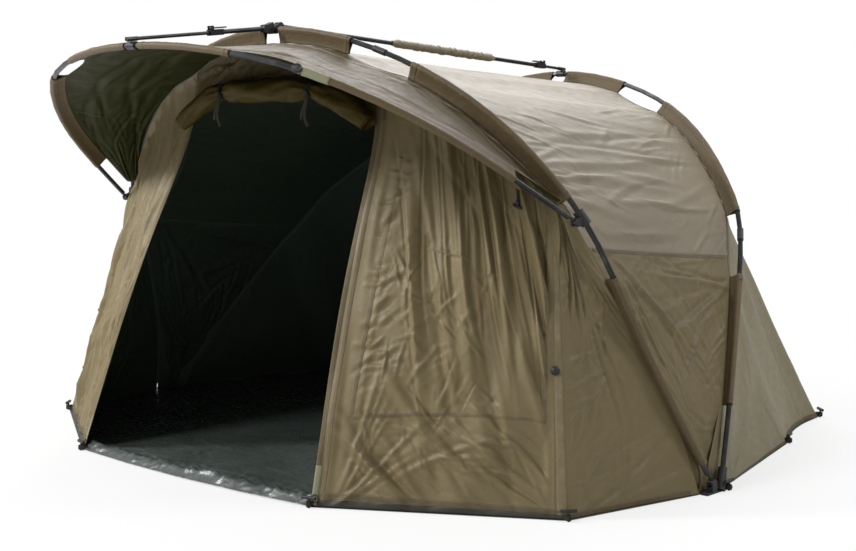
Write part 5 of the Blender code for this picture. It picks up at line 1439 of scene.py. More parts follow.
def wall_top(share):
    places = range(JUNCTION_STATION + 1, DOOR_STATION + 1)
    edge = [Vector(CORNER_TOP)] + [under_hood(k) for k in places]
    spot = share * (len(edge) - 1)
    low = min(int(spot), len(edge) - 2)
    return edge[low].lerp(edge[low + 1], spot - low)


def wall_bow(down):
    return WALL_BOW * down * (1 - down) ** 5


def smooth_wall_top(count):
    """The wall's upper edge with its corners eased, at even shares."""
    shares = np.linspace(0.0, 1.0, WALL_TOP_POINTS)
    points = np.array([tuple(wall_top(k / (WALL_TOP_POINTS - 1))) for k in range(WALL_TOP_POINTS)])
    return natural_spline(shares, points, np.linspace(0.0, 1.0, count))


def plain_wall():
    """The right-hand front wall before its folds: gathered at the top, pegged at its foot."""
    shares = np.linspace(0.0, 1.0, WALL_COLUMNS)
    places = JUNCTION_STATION + shares * (DOOR_STATION - JUNCTION_STATION)
    top = drawn_in(smooth_wall_top(WALL_COLUMNS), places, MIDDLE)
    foot = np.array([tuple(hem_point(CORNER_FOOT, DOOR_FOOT, s, 0.0)) for s in shares])
    down = np.linspace(0.0, 1.0, WALL_ROWS)[:, None]
    grid = top[None] * (1 - down[..., None]) + foot[None] * down[..., None]
    grid[..., 1] += wall_bow(down) * shares[None]
    return Patch.through(grid, WALL_FRONT)


def right_wall():
    """The wall with the storm panel; x runs from the corner seam to the door."""
    patch = plain_wall()
    folds = patch.creases("right_wall").follow(RIGHT_WALL_FOLD_SHARES)
    folds.height *= smooth((folds.x - STRIP_WIDTH) / FADE)
    return patch.press(folds.follow(STRIP_FOLD_SHARES))


def left_wall():
    """The wall whose open side hangs in long gathered folds, built as a right one and mirrored."""
    patch = plain_wall()
    folds = patch.creases("left_wall").follow(LEFT_WALL_FOLD_SHARES)
    deepened = smooth((folds.x - GATHER_START) / GATHER_WIDTH)
    folds.height *= GATHER_LEAST + (1 - GATHER_LEAST) * deepened
    return patch.press(folds.follow(LEFT_WALL_PLEAT_SHARES)).mirrored()


def gusset(wall):
    """A small patch over the point where the wall, the corner panel and the hoop meet."""
    top = Vector(CORNER_TOP)
    foot = Vector((*CORNER_FOOT, 0.0))
    outer = [top.lerp(foot, GUSSET_DROP_SHARE), top + CORNER_TOP_LIFT,
             beside(MIDDLE, CORNER_TOP_STATION, False, CLOTH)]
    inner = [Vector(wall.at(*place)[0]) for place in GUSSET_PLACES]
    lines = [edge_line(points, GUSSET_POINTS) for points in (outer, inner)]
    patch = spanned(*lines, 0.0, GUSSET_POINTS).facing(wall.at(*GUSSET_FACING)[1])
    patch.points = patch.points + patch.normals * GUSSET_RISE
    return patch


def front_walls():
    """Both front walls, the storm panel's zips on the right one, and their seams and gussets."""
    right = right_wall()
    left = left_wall()
    cover = gusset(right)
    for side, patch, corner in (("right", right, cover), ("left", left, cover.mirrored())):
        dress(f"front_wall_cloth_{side}", f"front_wall_{side}", patch, (WALL, SHADED_LINING), "wall_fabric",
              hold_front, "hung", ["middle_rib"])
        for (part, start, end, width), paint in zip(WALL_TAPES, (BINDING, ZIP, BINDING, STRIP)):
            hold_front(tape(f"{part}_{side}", patch, from_edges(patch, start, end), width, paint))
        hold_front(sheet_object(f"corner_gusset_{side}", corner, WALL, SHADED_LINING))
    corners = [(right.width * x, right.length * y) for x, y in PANEL_CORNER_SHARES]
    for name, first, second, width in PANEL_ZIPS:
        hold_front(tape(name, right, [corners[first], corners[second]], width, ZIP))
    return right, left


# Header and rolled door

def door_line(index):
    """The line from under the middle hoop to the ground that the door closes against."""
    top = under_hood(index)
    share = (STATIONS - index) / (STATIONS - DOOR_STATION)
    return top, Vector((DOOR_FOOT[0] * share, DOOR_FOOT[1], GROUND)), share


def on_door(index, drop):
    top, foot, _ = door_line(index)
    return top.lerp(foot, drop) + Vector((0.0, wall_bow(drop), 0.0))


def door_drop(index, sag=0.0):
    top, foot, share = door_line(index)
    height = DOOR_TOP_MIDDLE + (DOOR_TOP_SIDE - DOOR_TOP_MIDDLE) * abs(share) ** DOOR_TOP_BOW
    return (top.z - height + sag) / (top.z - foot.z)


def header():
    """The strip of wall over the doorway."""
    grid = np.zeros((HEADER_ROWS, HEADER_COLUMNS, 3))
    places = np.linspace(DOOR_STATION, LAST - DOOR_STATION, HEADER_COLUMNS)
    sunk = drawn_in(np.zeros((HEADER_COLUMNS, 3)), places, MIDDLE)
    for c, index in enumerate(places):
        drop = door_drop(index)
        for r in range(HEADER_ROWS):
            share = r / (HEADER_ROWS - 1)
            grid[r, c] = np.array(on_door(index, drop * share)) + sunk[c] * (1 - share)
    patch = Patch.through(grid, FRONT).folded("header", HEADER_FOLD_SHARES)
    dress("header_cloth", "door_header", patch, (SHADED_HEADER, SHADED_LINING), "wall_fabric", hold_front, "hung",
          ["middle_rib"])


def roll_line(count):
    """The rolled door's axis, and how far along its half each point lies."""
    shares = np.linspace(-1.0, 1.0, count)
    stations_a_half = (STATIONS - DOOR_STATION) * ROLL_HALF_SPAN / MIDDLE.points[DOOR_STATION].x
    centres = []
    for share in shares:
        index = STATIONS - share * stations_a_half
        top, foot, _ = door_line(index)
        outward = (foot - top).normalized().cross(Vector(RIGHT)).normalized()
        if outward.y > 0:
            outward = -outward
        lobe = ROLL_LOBE * max(0.0, 1 - (share / TIE_SHARE) ** 2)
        centres.append(on_door(index, door_drop(index, lobe)) + outward * (ROLL_RADIUS * ROLL_AWAY))
    return shares, np.array([tuple(c) for c in centres])


def roll_size(share):
    """The roll's radius: three lobes, drawn in under the two ties and towards both ends."""
    waist = np.exp(-((abs(share) - TIE_SHARE) / WAIST_WIDTH_SHARE) ** 2)
    ends = 1 - ROLL_END_TAPER * abs(share) ** ROLL_END_POWER
    return ROLL_RADIUS * (LOBE_SIZE - WAIST_DEPTH * waist) * ends


def rolled_door():
    """The door wound into a loose roll, tied in two places."""
    shares, centres = roll_line(ROLL_POINTS)
    direction = np.gradient(centres, axis=0)
    direction /= np.linalg.norm(direction, axis=1, keepdims=True)
    side = np.cross(direction, np.array(ROLL_UP))
    side /= np.linalg.norm(side, axis=1, keepdims=True)
    up = np.cross(side, direction)
    around = np.linspace(0.0, 1.0, ROLL_TURNS * TURN_POINTS)
    winding = ROLL_CORE_SHARE + (1 - ROLL_CORE_SHARE) * around ** ROLL_WIND
    angle = around * ROLL_TURNS * math.tau + ROLL_START
    phases = np.random.RandomState(SEEDS["roll_turns"]).uniform(0, math.tau, 6)
    grid = np.zeros((ROLL_POINTS, len(around), 3))
    for r, share in enumerate(shares):
        wobble = 1
        for (depth, turns, sway), phase in zip(ROLL_WAVES, phases):
            wobble = wobble + depth * np.sin(turns * angle + phase + sway * share)
        pinch = math.exp(-((abs(share) - TIE_SHARE) / PLEAT_WIDTH_SHARE) ** 2)
        depth, turns, sway = PLEATS
        pleat = depth * pinch * np.sin(turns * angle + phases[2] + sway * share)
        reach = roll_size(share) * (winding * wobble + pleat * winding)
        grid[r] = (centres[r] + side[r] * (reach * np.cos(angle))[:, None]
                   + up[r] * (reach * np.sin(angle) * ROLL_SQUASH)[:, None])
    patch = Patch.through(grid, UP)
    patch.normals = roll_normals(patch, centres)
    folds = patch.creases("roll").follow(ROLL_FOLD_SHARES)
    outer = smooth((folds.x / patch.width - ROLL_OUTER_SHARE) / ROLL_OUTER_FADE)
    lifted = np.maximum(folds.height, ROLL_LOWEST) * outer
    patch.points = patch.points + patch.normals * lifted[..., None]
    dress("door_roll_cloth", "rolled_door", patch, (ROLL, ROLL), "door_fabric", hold_front, "folded",
          ["header_cloth"], thickness=ROLL_CLOTH)
    for name, share in (("right", TIE_SHARE), ("left", -TIE_SHARE)):
        r = int(np.argmin(np.abs(shares - share)))
        roll_tie(f"roll_tie_{name}", centres[r], side[r], up[r], roll_size(share) * TIE_LOOSE + TIE_SPARE)


def roll_normals(patch, centres):
    """Normals that point away from the roll's axis."""
    normals = unit(np.cross(np.gradient(patch.points, axis=1), np.gradient(patch.points, axis=0)))
    outward = patch.points - centres[:, None, :]
    turned = (normals * outward).sum(axis=2).mean() < 0
    return -normals if turned else normals


def roll_tie(name, centre, side, up, size):
    """A dark tape round the roll, knotted in front, with two hanging ends."""
    angles = np.linspace(0.0, math.tau, TIE_POINTS)
    loop = (centre + side * (size * np.cos(angles))[:, None]
            + up * (size * np.sin(angles) * TIE_SQUASH)[:, None])
    normals = loop - centre
    normals /= np.linalg.norm(normals, axis=1, keepdims=True)
    hold_front(ribbon(name, loop, normals, TIE_WIDTH, WEBBING, TIE_RISE, TIE_STEP))
    front = centre + np.array([0.0, -size * TIE_FRONT[0], -size * TIE_FRONT[1]])
    for k, (lean, length) in enumerate(TIE_ENDS):
        drop = np.linspace(0.0, 1.0, TIE_END_POINTS)
        sway = TIE_SWAY * np.sin(drop * TIE_SWAY_WAVES + k)
        ahead = -TIE_FORWARD - TIE_CURL * np.sin(drop * TIE_CURL_WAVES)
        line = front + np.stack([lean * length * drop + sway, ahead, -length * drop], axis=1)
        facing = np.repeat([[TIE_TWIST * (k - 0.5), -1.0, 0.0]], len(line), axis=0)
        hold_front(ribbon(f"{name}_end_{k + 1}", line, facing, TIE_END_WIDTH, WEBBING,
                          TIE_END_RISE, TIE_STEP))
    hold_front(pillow(f"{name}_knot", front + np.array(KNOT_PLACE), KNOT_HALVES, WEBBING))


def pillow(name, centre, half_sizes, paint, power=0.55, turn=None):
    """A rounded lump: a squared-off ball."""
    v = np.linspace(0.0, math.pi, LUMP_RINGS)
    u = np.linspace(0.0, math.tau, 2 * LUMP_RINGS, endpoint=False)

    def soft(value):
        return np.sign(value) * np.abs(value) ** power

    points = np.stack([soft(np.sin(v))[:, None] * soft(np.cos(u))[None],
                       soft(np.sin(v))[:, None] * soft(np.sin(u))[None],
                       soft(np.cos(v))[:, None] * np.ones(2 * LUMP_RINGS)[None]], axis=-1)
    points = points * np.array(half_sizes)
    if turn is not None:
        points = points @ np.array(turn.to_3x3()).T
    points += np.array(centre)
    return lump(name, points, grid_faces(LUMP_RINGS, 2 * LUMP_RINGS, True)[:, ::-1], u, v, paint)


def lump(name, points, faces, across, along, paint):
    """A closed grid as a mesh, with its doubled points welded."""
    flat = np.stack([np.tile(across, len(along)), np.repeat(along, len(across))], axis=1) * UV_SCALE
    made = make_mesh(name, points.reshape(-1, 3), faces, flat, np.zeros(len(faces)), [paint])
    shape = bmesh.new()
    shape.from_mesh(made.data)
    bmesh.ops.remove_doubles(shape, verts=shape.verts, dist=WELD)
    bmesh.ops.recalc_face_normals(shape, faces=shape.faces)
    shape.to_mesh(made.data)
    shape.free()
    return made


def rear_wall():
    """The back of the tent, from the rear hoop down to the hem."""
    stations = range(1, LAST)
    top = hoop_edge(REAR, [beside(REAR, k, True) for k in stations], stations, REAR_COLUMNS)
    low = edge_line(REAR_HEM_ROUND, REAR_COLUMNS)
    patch = spanned(top, low, REAR_SAG, REAR_ROWS).facing(BACK).folded("rear_wall", REAR_FOLD_SHARES)
    dress("rear_wall_cloth", "rear_wall", patch, (REAR_CLOTH, SHADED_LINING), "canopy_fabric", hold_standing,
          "stretched", ["rear_rib"])
    for k, share in enumerate(REAR_SEAM_SHARES):
        path = [(patch.width * share, TAPE_END), (patch.width * share, patch.length - TAPE_END)]
        hold_standing(tape(f"rear_seam_{k + 1}", patch, path, SEAM_WIDTH, SEAM_PALE))
    path = from_edges(patch, (REAR_HEM_END, -REAR_HEM_IN), (-REAR_HEM_END, -REAR_HEM_IN))
    hold_standing(tape("rear_hem", patch, path, BINDING_WIDTH, BINDING))


def sides_and_corners():
    """Side and corner panels of both sides, with the seams that join them."""
    seam_path = ((-ROOF_SEAM_IN, TAPE_END), (-ROOF_SEAM_IN, -TAPE_END))
    for name, build, hold, part, path, width, paint in (
            ("side_panel", side_panel, hold_side, "roof_seam", seam_path, SEAM_WIDTH, SEAM),
            ("corner_panel", corner_panel, hold_front, "corner_hem", CORNER_HEM, BINDING_WIDTH, BINDING)):
        right = build()
        for side, patch in (("right", right), ("left", right.mirrored())):
            dress(f"{name}_cloth_{side}", f"{name}_{side}", patch, (WALL, SHADED_LINING), "wall_fabric", hold,
                  "stretched", ["middle_rib"])
            hold(tape(f"{part}_{side}", patch, from_edges(patch, *path), width, paint))


# Groundsheet

def sheet_outline():
    """The groundsheet's right-hand outline, from the front middle to the back middle."""
    block_edge = HALF_SPAN - CHEEK_RADIUS
    half_block = BLOCK_LENGTH / 2
    door_x, door_y = DOOR_FOOT
    front = [(0.0, door_y - SHEET_LIP - SHEET_BOW),
             (door_x / 2, door_y - SHEET_LIP - SHEET_BOW * 3 / 4),
             (door_x, door_y - SHEET_LIP),
             (CORNER_FOOT[0] + SHEET_LIP, CORNER_FOOT[1] - SHEET_LIP),
             (block_edge, PIVOT_Y - half_block - 2 * SHEET_LIP)]
    back = [(block_edge, PIVOT_Y + half_block + 2 * SHEET_LIP)]
    back += [(p.x + SHEET_LIP, p.y) for p in REAR_HEM[SIDE_FOOT_STATION - 1:REAR_FOOT_STATION]]
    back += [(p.x, p.y + SHEET_LIP) for p in REAR_HEM[REAR_FOOT_STATION - 1:]]
    return front, back


def groundsheet():
    """The floor sheet: flat under the tent, rucked up along its open front edge."""
    front, back = sheet_outline()
    reach = front[-1][0]
    xs = np.linspace(-reach, reach, SHEET_COLUMNS)
    front_y = np.interp(np.abs(xs), [x for x, _ in front], [y for _, y in front])
    by_x = sorted(back)
    back_y = np.interp(np.abs(xs), [x for x, _ in by_x], [y for _, y in by_x])
    share = (np.linspace(0.0, 1.0, SHEET_ROWS) ** SHEET_CROWD)[:, None]
    grid = np.zeros((SHEET_ROWS, SHEET_COLUMNS, 3))
    grid[..., 0] = xs
    grid[..., 1] = front_y + (back_y - front_y) * share
    patch = Patch.through(grid, UP)
    x = grid[..., 0]
    y = grid[..., 1]
    from_front = y - front_y[None]
    rucks = Creases(x, y, SEEDS["groundsheet"]).follow(RUCKS)
    open_front = smooth((OPEN_HALF - np.abs(x)) / OPEN_FADE)
    lip = LIP_HEIGHT * np.exp(-((from_front - LIP_IN) / LIP_WIDTH) ** 2) * open_front
    under_hem = smooth(from_front / HEM_RAMP) * (1 - HEM_LEAST) + HEM_LEAST
    near_edge = np.minimum(back_y[None] - y, np.where(np.abs(x) > FREE_HALF, from_front, 1.0))
    near_edge = np.minimum(near_edge, reach - np.abs(x))
    height = (np.abs(rucks.height) * under_hem + lip) * smooth(near_edge / SHEET_FADE)
    patch.points[..., 2] = height + SHEET_BASE
    patch.normals = grid_normals(patch.points, UP)
    dress("groundsheet_film", "groundsheet", patch, (SHEETING, SHEETING), "groundsheet_film",
          hold_standing, "laid", [], thickness=SHEET_FILM)


# Sleeves

def sleeve_grid(hoop, start, end, radius, depth_share=1.0):
    """Cloth round over the tube, then two layers sewn together down towards the canopy."""
    length = hoop.span(start, end)
    rows = count_for(length, SLEEVE_STEP)
    angles = np.linspace(0.0, math.pi, ARC_POINTS)
    down = np.linspace(0.0, 1.0, WEB_POINTS + 1)[1:]
    pinched = WEB_HALF + (radius - WEB_HALF) * np.maximum(1 - down * WEB_PINCH, 0.0) ** WEB_PINCH_POWER
    grid = np.zeros((rows, ARC_POINTS + 2 * WEB_POINTS, 3))
    normals = np.zeros_like(grid)
    for r, index in enumerate(np.linspace(start, end, rows)):
        centre = np.array(hoop.world(index))
        side, inward = (np.array(v) for v in web_frame(hoop, index))
        depth = web_depth(hoop, index) * depth_share
        arc = (side[None] * np.cos(angles)[:, None] - inward[None] * np.sin(angles)[:, None])
        out = centre - side[None] * pinched[:, None] + inward[None] * (down * depth)[:, None]
        back = centre + side[None] * pinched[::-1][:, None] + inward[None] * (down[::-1] * depth)[:, None]
        grid[r] = np.concatenate([centre + arc * radius, out, back])
        flat_out = np.repeat(-side[None], WEB_POINTS, axis=0)
        normals[r] = np.concatenate([arc, flat_out, -flat_out])
    around = run_lengths(grid[rows // 2])
    return Patch(grid, normals, around, np.linspace(0.0, length, rows), float(around[-1] * length))


def sleeve(name, hoop, body, start, end, seed):
    """A gathered sleeve in place of a plain one, hemmed at both ends."""
    def hold(obj):
        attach(obj, body)

    patch = sleeve_grid(hoop, start, end, SLEEVE_RADIUS)
    pucker(patch, seed)
    dress(name + "_cloth", name, patch, (SLEEVE, SLEEVE), "sleeve_fabric", hold, "stretched",
          [f"{name.split('_')[0]}_rib"], wrap=True)
    for end_name, row in (("low", SLEEVE_HEM_ROW), ("high", len(patch.rows) - SLEEVE_HEM_ROW - 1)):
        ring_points = np.concatenate([patch.points[row], patch.points[row][:1]])
        out = np.concatenate([patch.normals[row], patch.normals[row][:1]])
        hold(ribbon(f"{name}_{end_name}_hem", ring_points, out, SLEEVE_HEM_WIDTH, BINDING, SLEEVE_HEM_RISE,
                    HEM_STEP))


def pucker(patch, seed):
    """Small gathers along a sleeve's seam, and creases that run off them."""
    x, y = np.meshgrid(patch.columns, patch.rows)
    folds = Creases(x, y, seed)
    wide, long = patch.columns[-1], patch.rows[-1]
    for a_metre, besides, across, *fold in PUCKER_SHARES:
        region = (wide * across[0], wide * across[1], 0.0, long)
        folds.family(int(a_metre * long) + besides, region, *fold)
    patch.points = patch.points + patch.normals * np.maximum(folds.height, PUCKER_LOWEST)[..., None]


def sleeves():
    for prefix, hoop, body, table_shares in (("rear", REAR, STANDING, REAR_SLEEVE_SHARES),
                                             ("middle", MIDDLE, MIDDLE_BODY, MIDDLE_SLEEVE_SHARES),
                                             ("peak", PEAK, PEAK_BODY, PEAK_SLEEVE_SHARES)):
        last = len(hoop.points) - 1
        for k, (part, start_share, end_share) in enumerate(table_shares):
            start = hoop.index_at(start_share)
            end = hoop.index_at(end_share)
            for side, first, second in (("right", start, end), ("left", last - end, last - start)):
                seed = SEEDS[f"{side}_sleeve"] + SEED_STEP * k
                sleeve(f"{prefix}_sleeve_{part}_{side}", hoop, body, first, second, seed)


def bar_wrap():
    """The ruched cover round the rear ridge bar."""
    start = MIDDLE.frame @ Vector((0.0, MIDDLE.points[STATIONS].y + BACK_RISE, -HUB_REACH))
    target = REAR.world(STATIONS)
    gap = TOP_CLAMP_RADIUS + BAR_GAP + BAR_FOOT_RADIUS
    distance = (target - start).length
    angle = math.atan2(target.z - start.z, target.y - start.y) + math.asin(gap / distance)
    direction = np.array([0.0, math.cos(angle), math.sin(angle)])
    length = math.sqrt(distance ** 2 - gap ** 2)
    up = np.array([0.0, -direction[2], direction[1]])
    side = np.array(RIGHT)
    angles = np.linspace(0.0, math.tau, WRAP_POINTS, endpoint=False)
    along = np.linspace(WRAP_SHARES[0] * length, WRAP_SHARES[1] * length, WRAP_ROWS)
    x, y = np.meshgrid(angles * WRAP_MIDDLE_RADIUS, along)
    folds = Creases(x, y, SEEDS["wrap"])
    for count, *fold in RUCHES:
        folds.family(count, (0.0, WRAP_ROUND, along[0], along[-1]), *fold)
    share = np.linspace(0.0, 1.0, WRAP_ROWS)[:, None]
    ends = smooth(np.minimum(share, 1 - share) / WRAP_END_SHARE)
    fullness = WRAP_FULLNESS + np.clip(folds.height, WRAP_LOWEST, WRAP_HIGHEST)
    radius = BAR_RADIUS + WRAP_SPARE + ends * fullness
    radius = radius * (1 + WRAP_OVAL * np.sin(angles + WRAP_OVAL_TURN))
    grid = (np.array(start)[None, None] + direction[None, None] * along[:, None, None]
            + side[None, None] * (radius * np.cos(angles))[..., None]
            + up[None, None] * (radius * np.sin(angles))[..., None])
    normals = (side[None, None] * np.cos(angles)[None, :, None]
               + up[None, None] * np.sin(angles)[None, :, None]) * np.ones((WRAP_ROWS, 1, 1))
    patch = Patch(grid, normals, angles * WRAP_MIDDLE_RADIUS, along - along[0])

    def hold(obj):
        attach(obj, REAR_BAR_BODY)

    dress("rear_bar_wrap_cloth", "rear_bar_wrap", patch, (LIT_CANOPY, SHADED_LINING), "sleeve_fabric", hold,
          "gathered", ["rear_bar_outer"], wrap=True)


def inner_seams():
    """Dark tape along the inside of each seam under a hoop, wider at the feet."""
    for name, hoop in (("rear", REAR), ("middle", MIDDLE)):
        places = np.concatenate([np.linspace(*INNER_TAPE_STATIONS), np.linspace(*INNER_TAPE_UPPER)])
        places = np.concatenate([places, LAST - places[-2::-1]])
        line = []
        for k in places:
            _, web = web_frame(hoop, k)
            line.append(tuple(hoop.world(k) + web * (web_depth(hoop, k) + INNER_TAPE_DEPTH)))
        line = drawn_in(np.array(line), places, hoop)
        places = np.concatenate([places[:1], places, places[-1:]])
        line = np.concatenate([line[:1], line, line[-1:]])
        line[[0, -1], 2] = GROUND
        frames = [web_frame(hoop, k) for k in places]
        ups = np.array([tuple(web) for _, web in frames])
        sides = np.array([tuple(side) for side, _ in frames])
        width = np.interp([whole_index(k, STATIONS) for k in places], INNER_TAPE_PLACES, INNER_TAPE_WIDTHS)
        across = INNER_TAPE_SHARES[None, :] * width[:, None]
        points = line[:, None, :] + sides[:, None, :] * across[..., None]
        points[..., 2] = np.maximum(points[..., 2], GROUND)
        normals = np.repeat(ups[:, None, :], len(INNER_TAPE_SHARES), axis=1)
        patch = Patch(points, normals, INNER_TAPE_SHARES * INNER_TAPE_FLAT, run_lengths(line))
        made = sheet_object(f"{name}_inner_seam", patch, INNER_TAPE, WALL, thickness=THINNEST)
        if hoop is REAR:
            hold_standing(made)
        else:
            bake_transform(made)


# Small sewn-on pieces

def peg_loops():
    """A webbing loop from each corner of the hem round its peg."""
    for name in sorted(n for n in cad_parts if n.startswith("peg_")):
        low, high = (np.array(v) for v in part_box(name))
        centre = (low + high) / 2
        outward = np.array([centre[0], centre[1], 0.0])
        outward /= np.linalg.norm(outward)
        side = np.array([-outward[1], outward[0], 0.0])
        angles = np.linspace(0.0, math.tau, LOOP_POINTS)
        middle = np.array([centre[0], centre[1], LOOP_HEIGHT]) - outward * LOOP_LENGTH / 3
        line = (middle + outward * (LOOP_LENGTH / 2 * np.cos(angles))[:, None]
                + side * (LOOP_WIDTH / 2 * np.sin(angles))[:, None])
        normals = line - middle
        normals /= np.linalg.norm(normals, axis=1, keepdims=True)
        hold_standing(ribbon(name.replace("peg", "peg_loop"), line, normals, LOOP_TAPE, WEBBING, LOOP_RISE,
                             TIE_STEP))


def turned_to(way, axis, up):
    return Vector(way).to_track_quat(axis, up).to_matrix().to_4x4()


def toggle(name, patch, x, y):
    """A T-shaped toggle on a short strip of webbing."""
    ends = [(x + aside, y + below) for aside, below in TOGGLE_STRIP]
    strip = tape(f"{name}_strip", patch, ends, TOGGLE_STRIP_WIDTH, WEBBING, TOGGLE_STRIP_RISE)
    spot, normal = patch.at(*ends[1])
    down = patch.at(x, y + TOGGLE_DROP)[0] - patch.at(x, y)[0]
    across = np.cross(normal, down)
    across = (across / np.linalg.norm(across) * math.cos(TOGGLE_LEAN)
              + down / np.linalg.norm(down) * math.sin(TOGGLE_LEAN))
    bar = pillow(f"{name}_bar", spot + normal * TOGGLE_BAR_RISE, TOGGLE_BAR_HALVES, MOULDING, power=0.8,
                 turn=turned_to(across, "X", "Z"))
    stem_place = spot + normal * TOGGLE_STEM_RISE - down / np.linalg.norm(down) * TOGGLE_STEM_UP
    stem = pillow(f"{name}_stem", stem_place, TOGGLE_STEM_HALVES, MOULDING, power=0.7)
    return [strip, bar, stem]


def knob(name, patch, x, y):
    """A round moulded button with a collar, on the cloth."""
    spot, normal = patch.at(x, y)
    turn = turned_to(normal, "Z", "Y")
    return [pillow(f"{name}_{part}", spot + normal * rise, halves, MOULDING, power, turn)
            for part, rise, halves, power in KNOB_PARTS]


def ring(name, centre, normal, radius, wire, paint):
    """A wire ring."""
    normal = np.array(normal) / np.linalg.norm(normal)
    first = np.cross(normal, (0.3, 0.2, 0.9))
    first /= np.linalg.norm(first)
    second = np.cross(normal, first)
    u = np.linspace(0.0, math.tau, RING_POINTS, endpoint=False)
    v = np.linspace(0.0, math.tau, WIRE_POINTS, endpoint=False)
    spoke = first[None] * np.cos(u)[:, None] + second[None] * np.sin(u)[:, None]
    grid = (np.array(centre) + spoke[:, None, :] * (radius + wire * np.cos(v))[None, :, None]
            + normal * (wire * np.sin(v))[None, :, None])
    grid = np.concatenate([grid, grid[:1]])
    return lump(name, grid, grid_faces(len(grid), len(v), True), v, np.append(u, math.tau), paint)


def wall_trim(right, left):
    """Toggles, knobs, the door corner's strap and ring, and a near-black band along each wall's foot."""
    toggle_x, toggle_y = TOGGLE_PLACE_SHARES
    knob_x, knob_y = KNOB_PLACE_SHARES
    pieces = toggle("storm_toggle", right, right.width * toggle_x, right.length * toggle_y)
    pieces += knob("strip_knob", right, right.width * knob_x, right.length * knob_y)
    for name, patch in (("right", right), ("left", left)):
        path = from_edges(patch, (-STRAP_IN, -STRAP_START), (-STRAP_IN, -STRAP_END))
        pieces.append(tape(f"door_strap_{name}", patch, path, STRAP_WIDTH, PATCH, STRAP_RISE))
        spot, normal = patch.at(patch.width - STRAP_IN, patch.length - RING_UP)
        pieces.append(ring(f"door_ring_{name}", spot + normal * RING_RISE, normal, RING_RADIUS, RING_WIRE,
                           TUBE))
        # A near-black band along the wall's foot.
        path = from_edges(patch, (FOOT_BAND_END, -FOOT_BAND_UP), (-FOOT_BAND_END, -FOOT_BAND_UP))
        pieces.append(tape(f"mud_flap_{name}", patch, path, FOOT_BAND_WIDTH, FOOT_BAND, FOOT_BAND_RISE))
    for piece in pieces:
        hold_front(piece)


def hood_trim():
    """The strap patch at the end of the peak hoop's side sleeve and the plain badge beside it."""
    low, high = (PEAK.index_at(share) for share in PEAK_STRAP_SHARES)
    strap = sleeve_grid(PEAK, low, high, SLEEVE_RADIUS + PEAK_STRAP_SPARE, PEAK_STRAP_DEPTH_SHARE)
    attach(sheet_object("peak_strap_patch", strap, PATCH, PATCH, wrap=True), PEAK_BODY)
    place = PEAK.index_at(BADGE_SHARE)
    along = PEAK.frame.to_3x3() @ PEAK.tangent(place)
    facing = Vector(BADGE_FACING)
    facing = np.array((facing - along * facing.dot(along) / along.length_squared).normalized())
    centre = np.array(PEAK.world(place)) + facing * BADGE_AWAY
    rise, radius, wire = BADGE_RIM
    badge = pillow("plain_badge", centre, BADGE_HALVES, MOULDING, power=0.8,
                   turn=turned_to(facing, "Z", "Y"))
    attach(badge, PEAK_BODY)
    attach(ring("plain_badge_rim", centre + facing * rise, facing, radius, wire, TUBE), PEAK_BODY)


# Finish of the frame's own pieces

def finish_frame():
    paints = {"gunmetal_tube": TUBE, "black_moulding": MOULDING, "peg_moulding": PEG}
    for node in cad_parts.values():
        mesh = node.data
        for k, old in enumerate(mesh.materials):
            for key, paint in paints.items():
                if old is not None and old.name.startswith(key):
                    mesh.materials[k] = paint


# Floor, light and camera

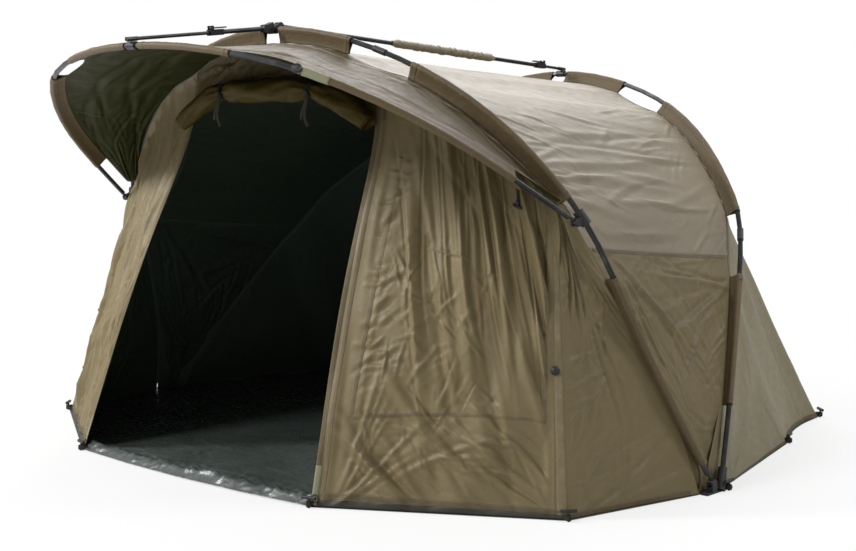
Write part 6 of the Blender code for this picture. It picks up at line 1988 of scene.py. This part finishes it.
def floor():
    """A pale floor that takes the shadow near the tent and fades to white farther out."""
    corners = [(-1, -1), (1, -1), (1, 1), (-1, 1)]
    vertices = np.array([(x * FLOOR_HALF, y * FLOOR_HALF, 0.0) for x, y in corners])
    paint = Paint("studio_floor", (0.86, 0.86, 0.86), roughness=0.8, specular=0.2)
    made = make_mesh("floor", vertices, [(0, 1, 2, 3)], vertices[:, :2], [0], [paint.made])
    speck = paint.ramp(paint.noise(scale=2.0, detail=3.0), 0.0, 1.0)
    paint.tint(paint.mix(speck, (0.85, 0.85, 0.85), (0.87, 0.87, 0.87)))
    away = paint.add("ShaderNodeVectorMath", operation="LENGTH")
    paint.feed(paint.where.outputs["Object"], away.inputs[0])
    far = paint.ramp(away.outputs["Value"], FLOOR_GLOW, 1.0, FLOOR_NEAR, FLOOR_FAR)
    far.node.interpolation_type = "SMOOTHSTEP"
    far = paint.math("MULTIPLY", far, paint.add("ShaderNodeLightPath").outputs["Is Camera Ray"])
    glow = paint.add("ShaderNodeEmission")
    glow.inputs["Color"].default_value = rgb(*WHITE)
    mix = paint.add("ShaderNodeMixShader")
    for value, target in ((far, mix.inputs[0]), (paint.shader.outputs[0], mix.inputs[1]),
                          (glow.outputs[0], mix.inputs[2]),
                          (mix.outputs[0], paint.nodes["Material Output"].inputs["Surface"])):
        paint.feed(value, target)


def light(name, place, target, size, power):
    data = bpy.data.lights.new(name, "AREA")
    data.shape = "RECTANGLE"
    data.size, data.size_y = size
    data.energy = power
    lamp = bpy.data.objects.new(name, data)
    lamp.location = place
    lamp.rotation_euler = (Vector(target) - Vector(place)).to_track_quat("-Z", "Y").to_euler()
    bpy.context.scene.collection.objects.link(lamp)


def studio():
    world = bpy.data.worlds.new("studio")
    bpy.context.scene.world = world
    world.use_nodes = True
    nodes = world.node_tree.nodes
    links = world.node_tree.links
    plain = nodes["Background"]
    seen = nodes.new("ShaderNodeBackground")
    for sky, strength in ((plain, SKY_STRENGTH), (seen, SEEN_STRENGTH)):
        sky.inputs["Color"].default_value = rgb(*WHITE)
        sky.inputs["Strength"].default_value = strength
    path = nodes.new("ShaderNodeLightPath")
    share = nodes.new("ShaderNodeMath")
    share.operation = "MULTIPLY_ADD"
    links.new(path.outputs["Is Glossy Ray"], share.inputs[0])
    share.inputs[1].default_value = GLOSSY_SHARE
    links.new(path.outputs["Is Camera Ray"], share.inputs[2])
    mix = nodes.new("ShaderNodeMixShader")
    links.new(share.outputs[0], mix.inputs[0])
    links.new(plain.outputs[0], mix.inputs[1])
    links.new(seen.outputs[0], mix.inputs[2])
    links.new(mix.outputs[0], nodes["World Output"].inputs["Surface"])
    for lamp in LAMPS:
        light(*lamp)
    bpy.context.scene.view_settings.view_transform = "Standard"


def camera():
    data = bpy.data.cameras.new("camera")
    data.sensor_width = SENSOR_WIDTH
    data.lens = LENS
    data.clip_end = FAR_CLIP
    made = bpy.data.objects.new("camera", data)
    made.location = CAMERA_PLACE
    made.rotation_euler = (math.pi / 2 - CAMERA_DIP, 0.0, CAMERA_TURN)
    bpy.context.scene.collection.objects.link(made)
    bpy.context.scene.camera = made


finish_frame()
peg_loops()
roof()
hood()
sides_and_corners()
wall_trim(*front_walls())
hood_trim()
header()
rolled_door()
rear_wall()
groundsheet()
sleeves()
bar_wrap()
inner_seams()
floor()
studio()
camera()
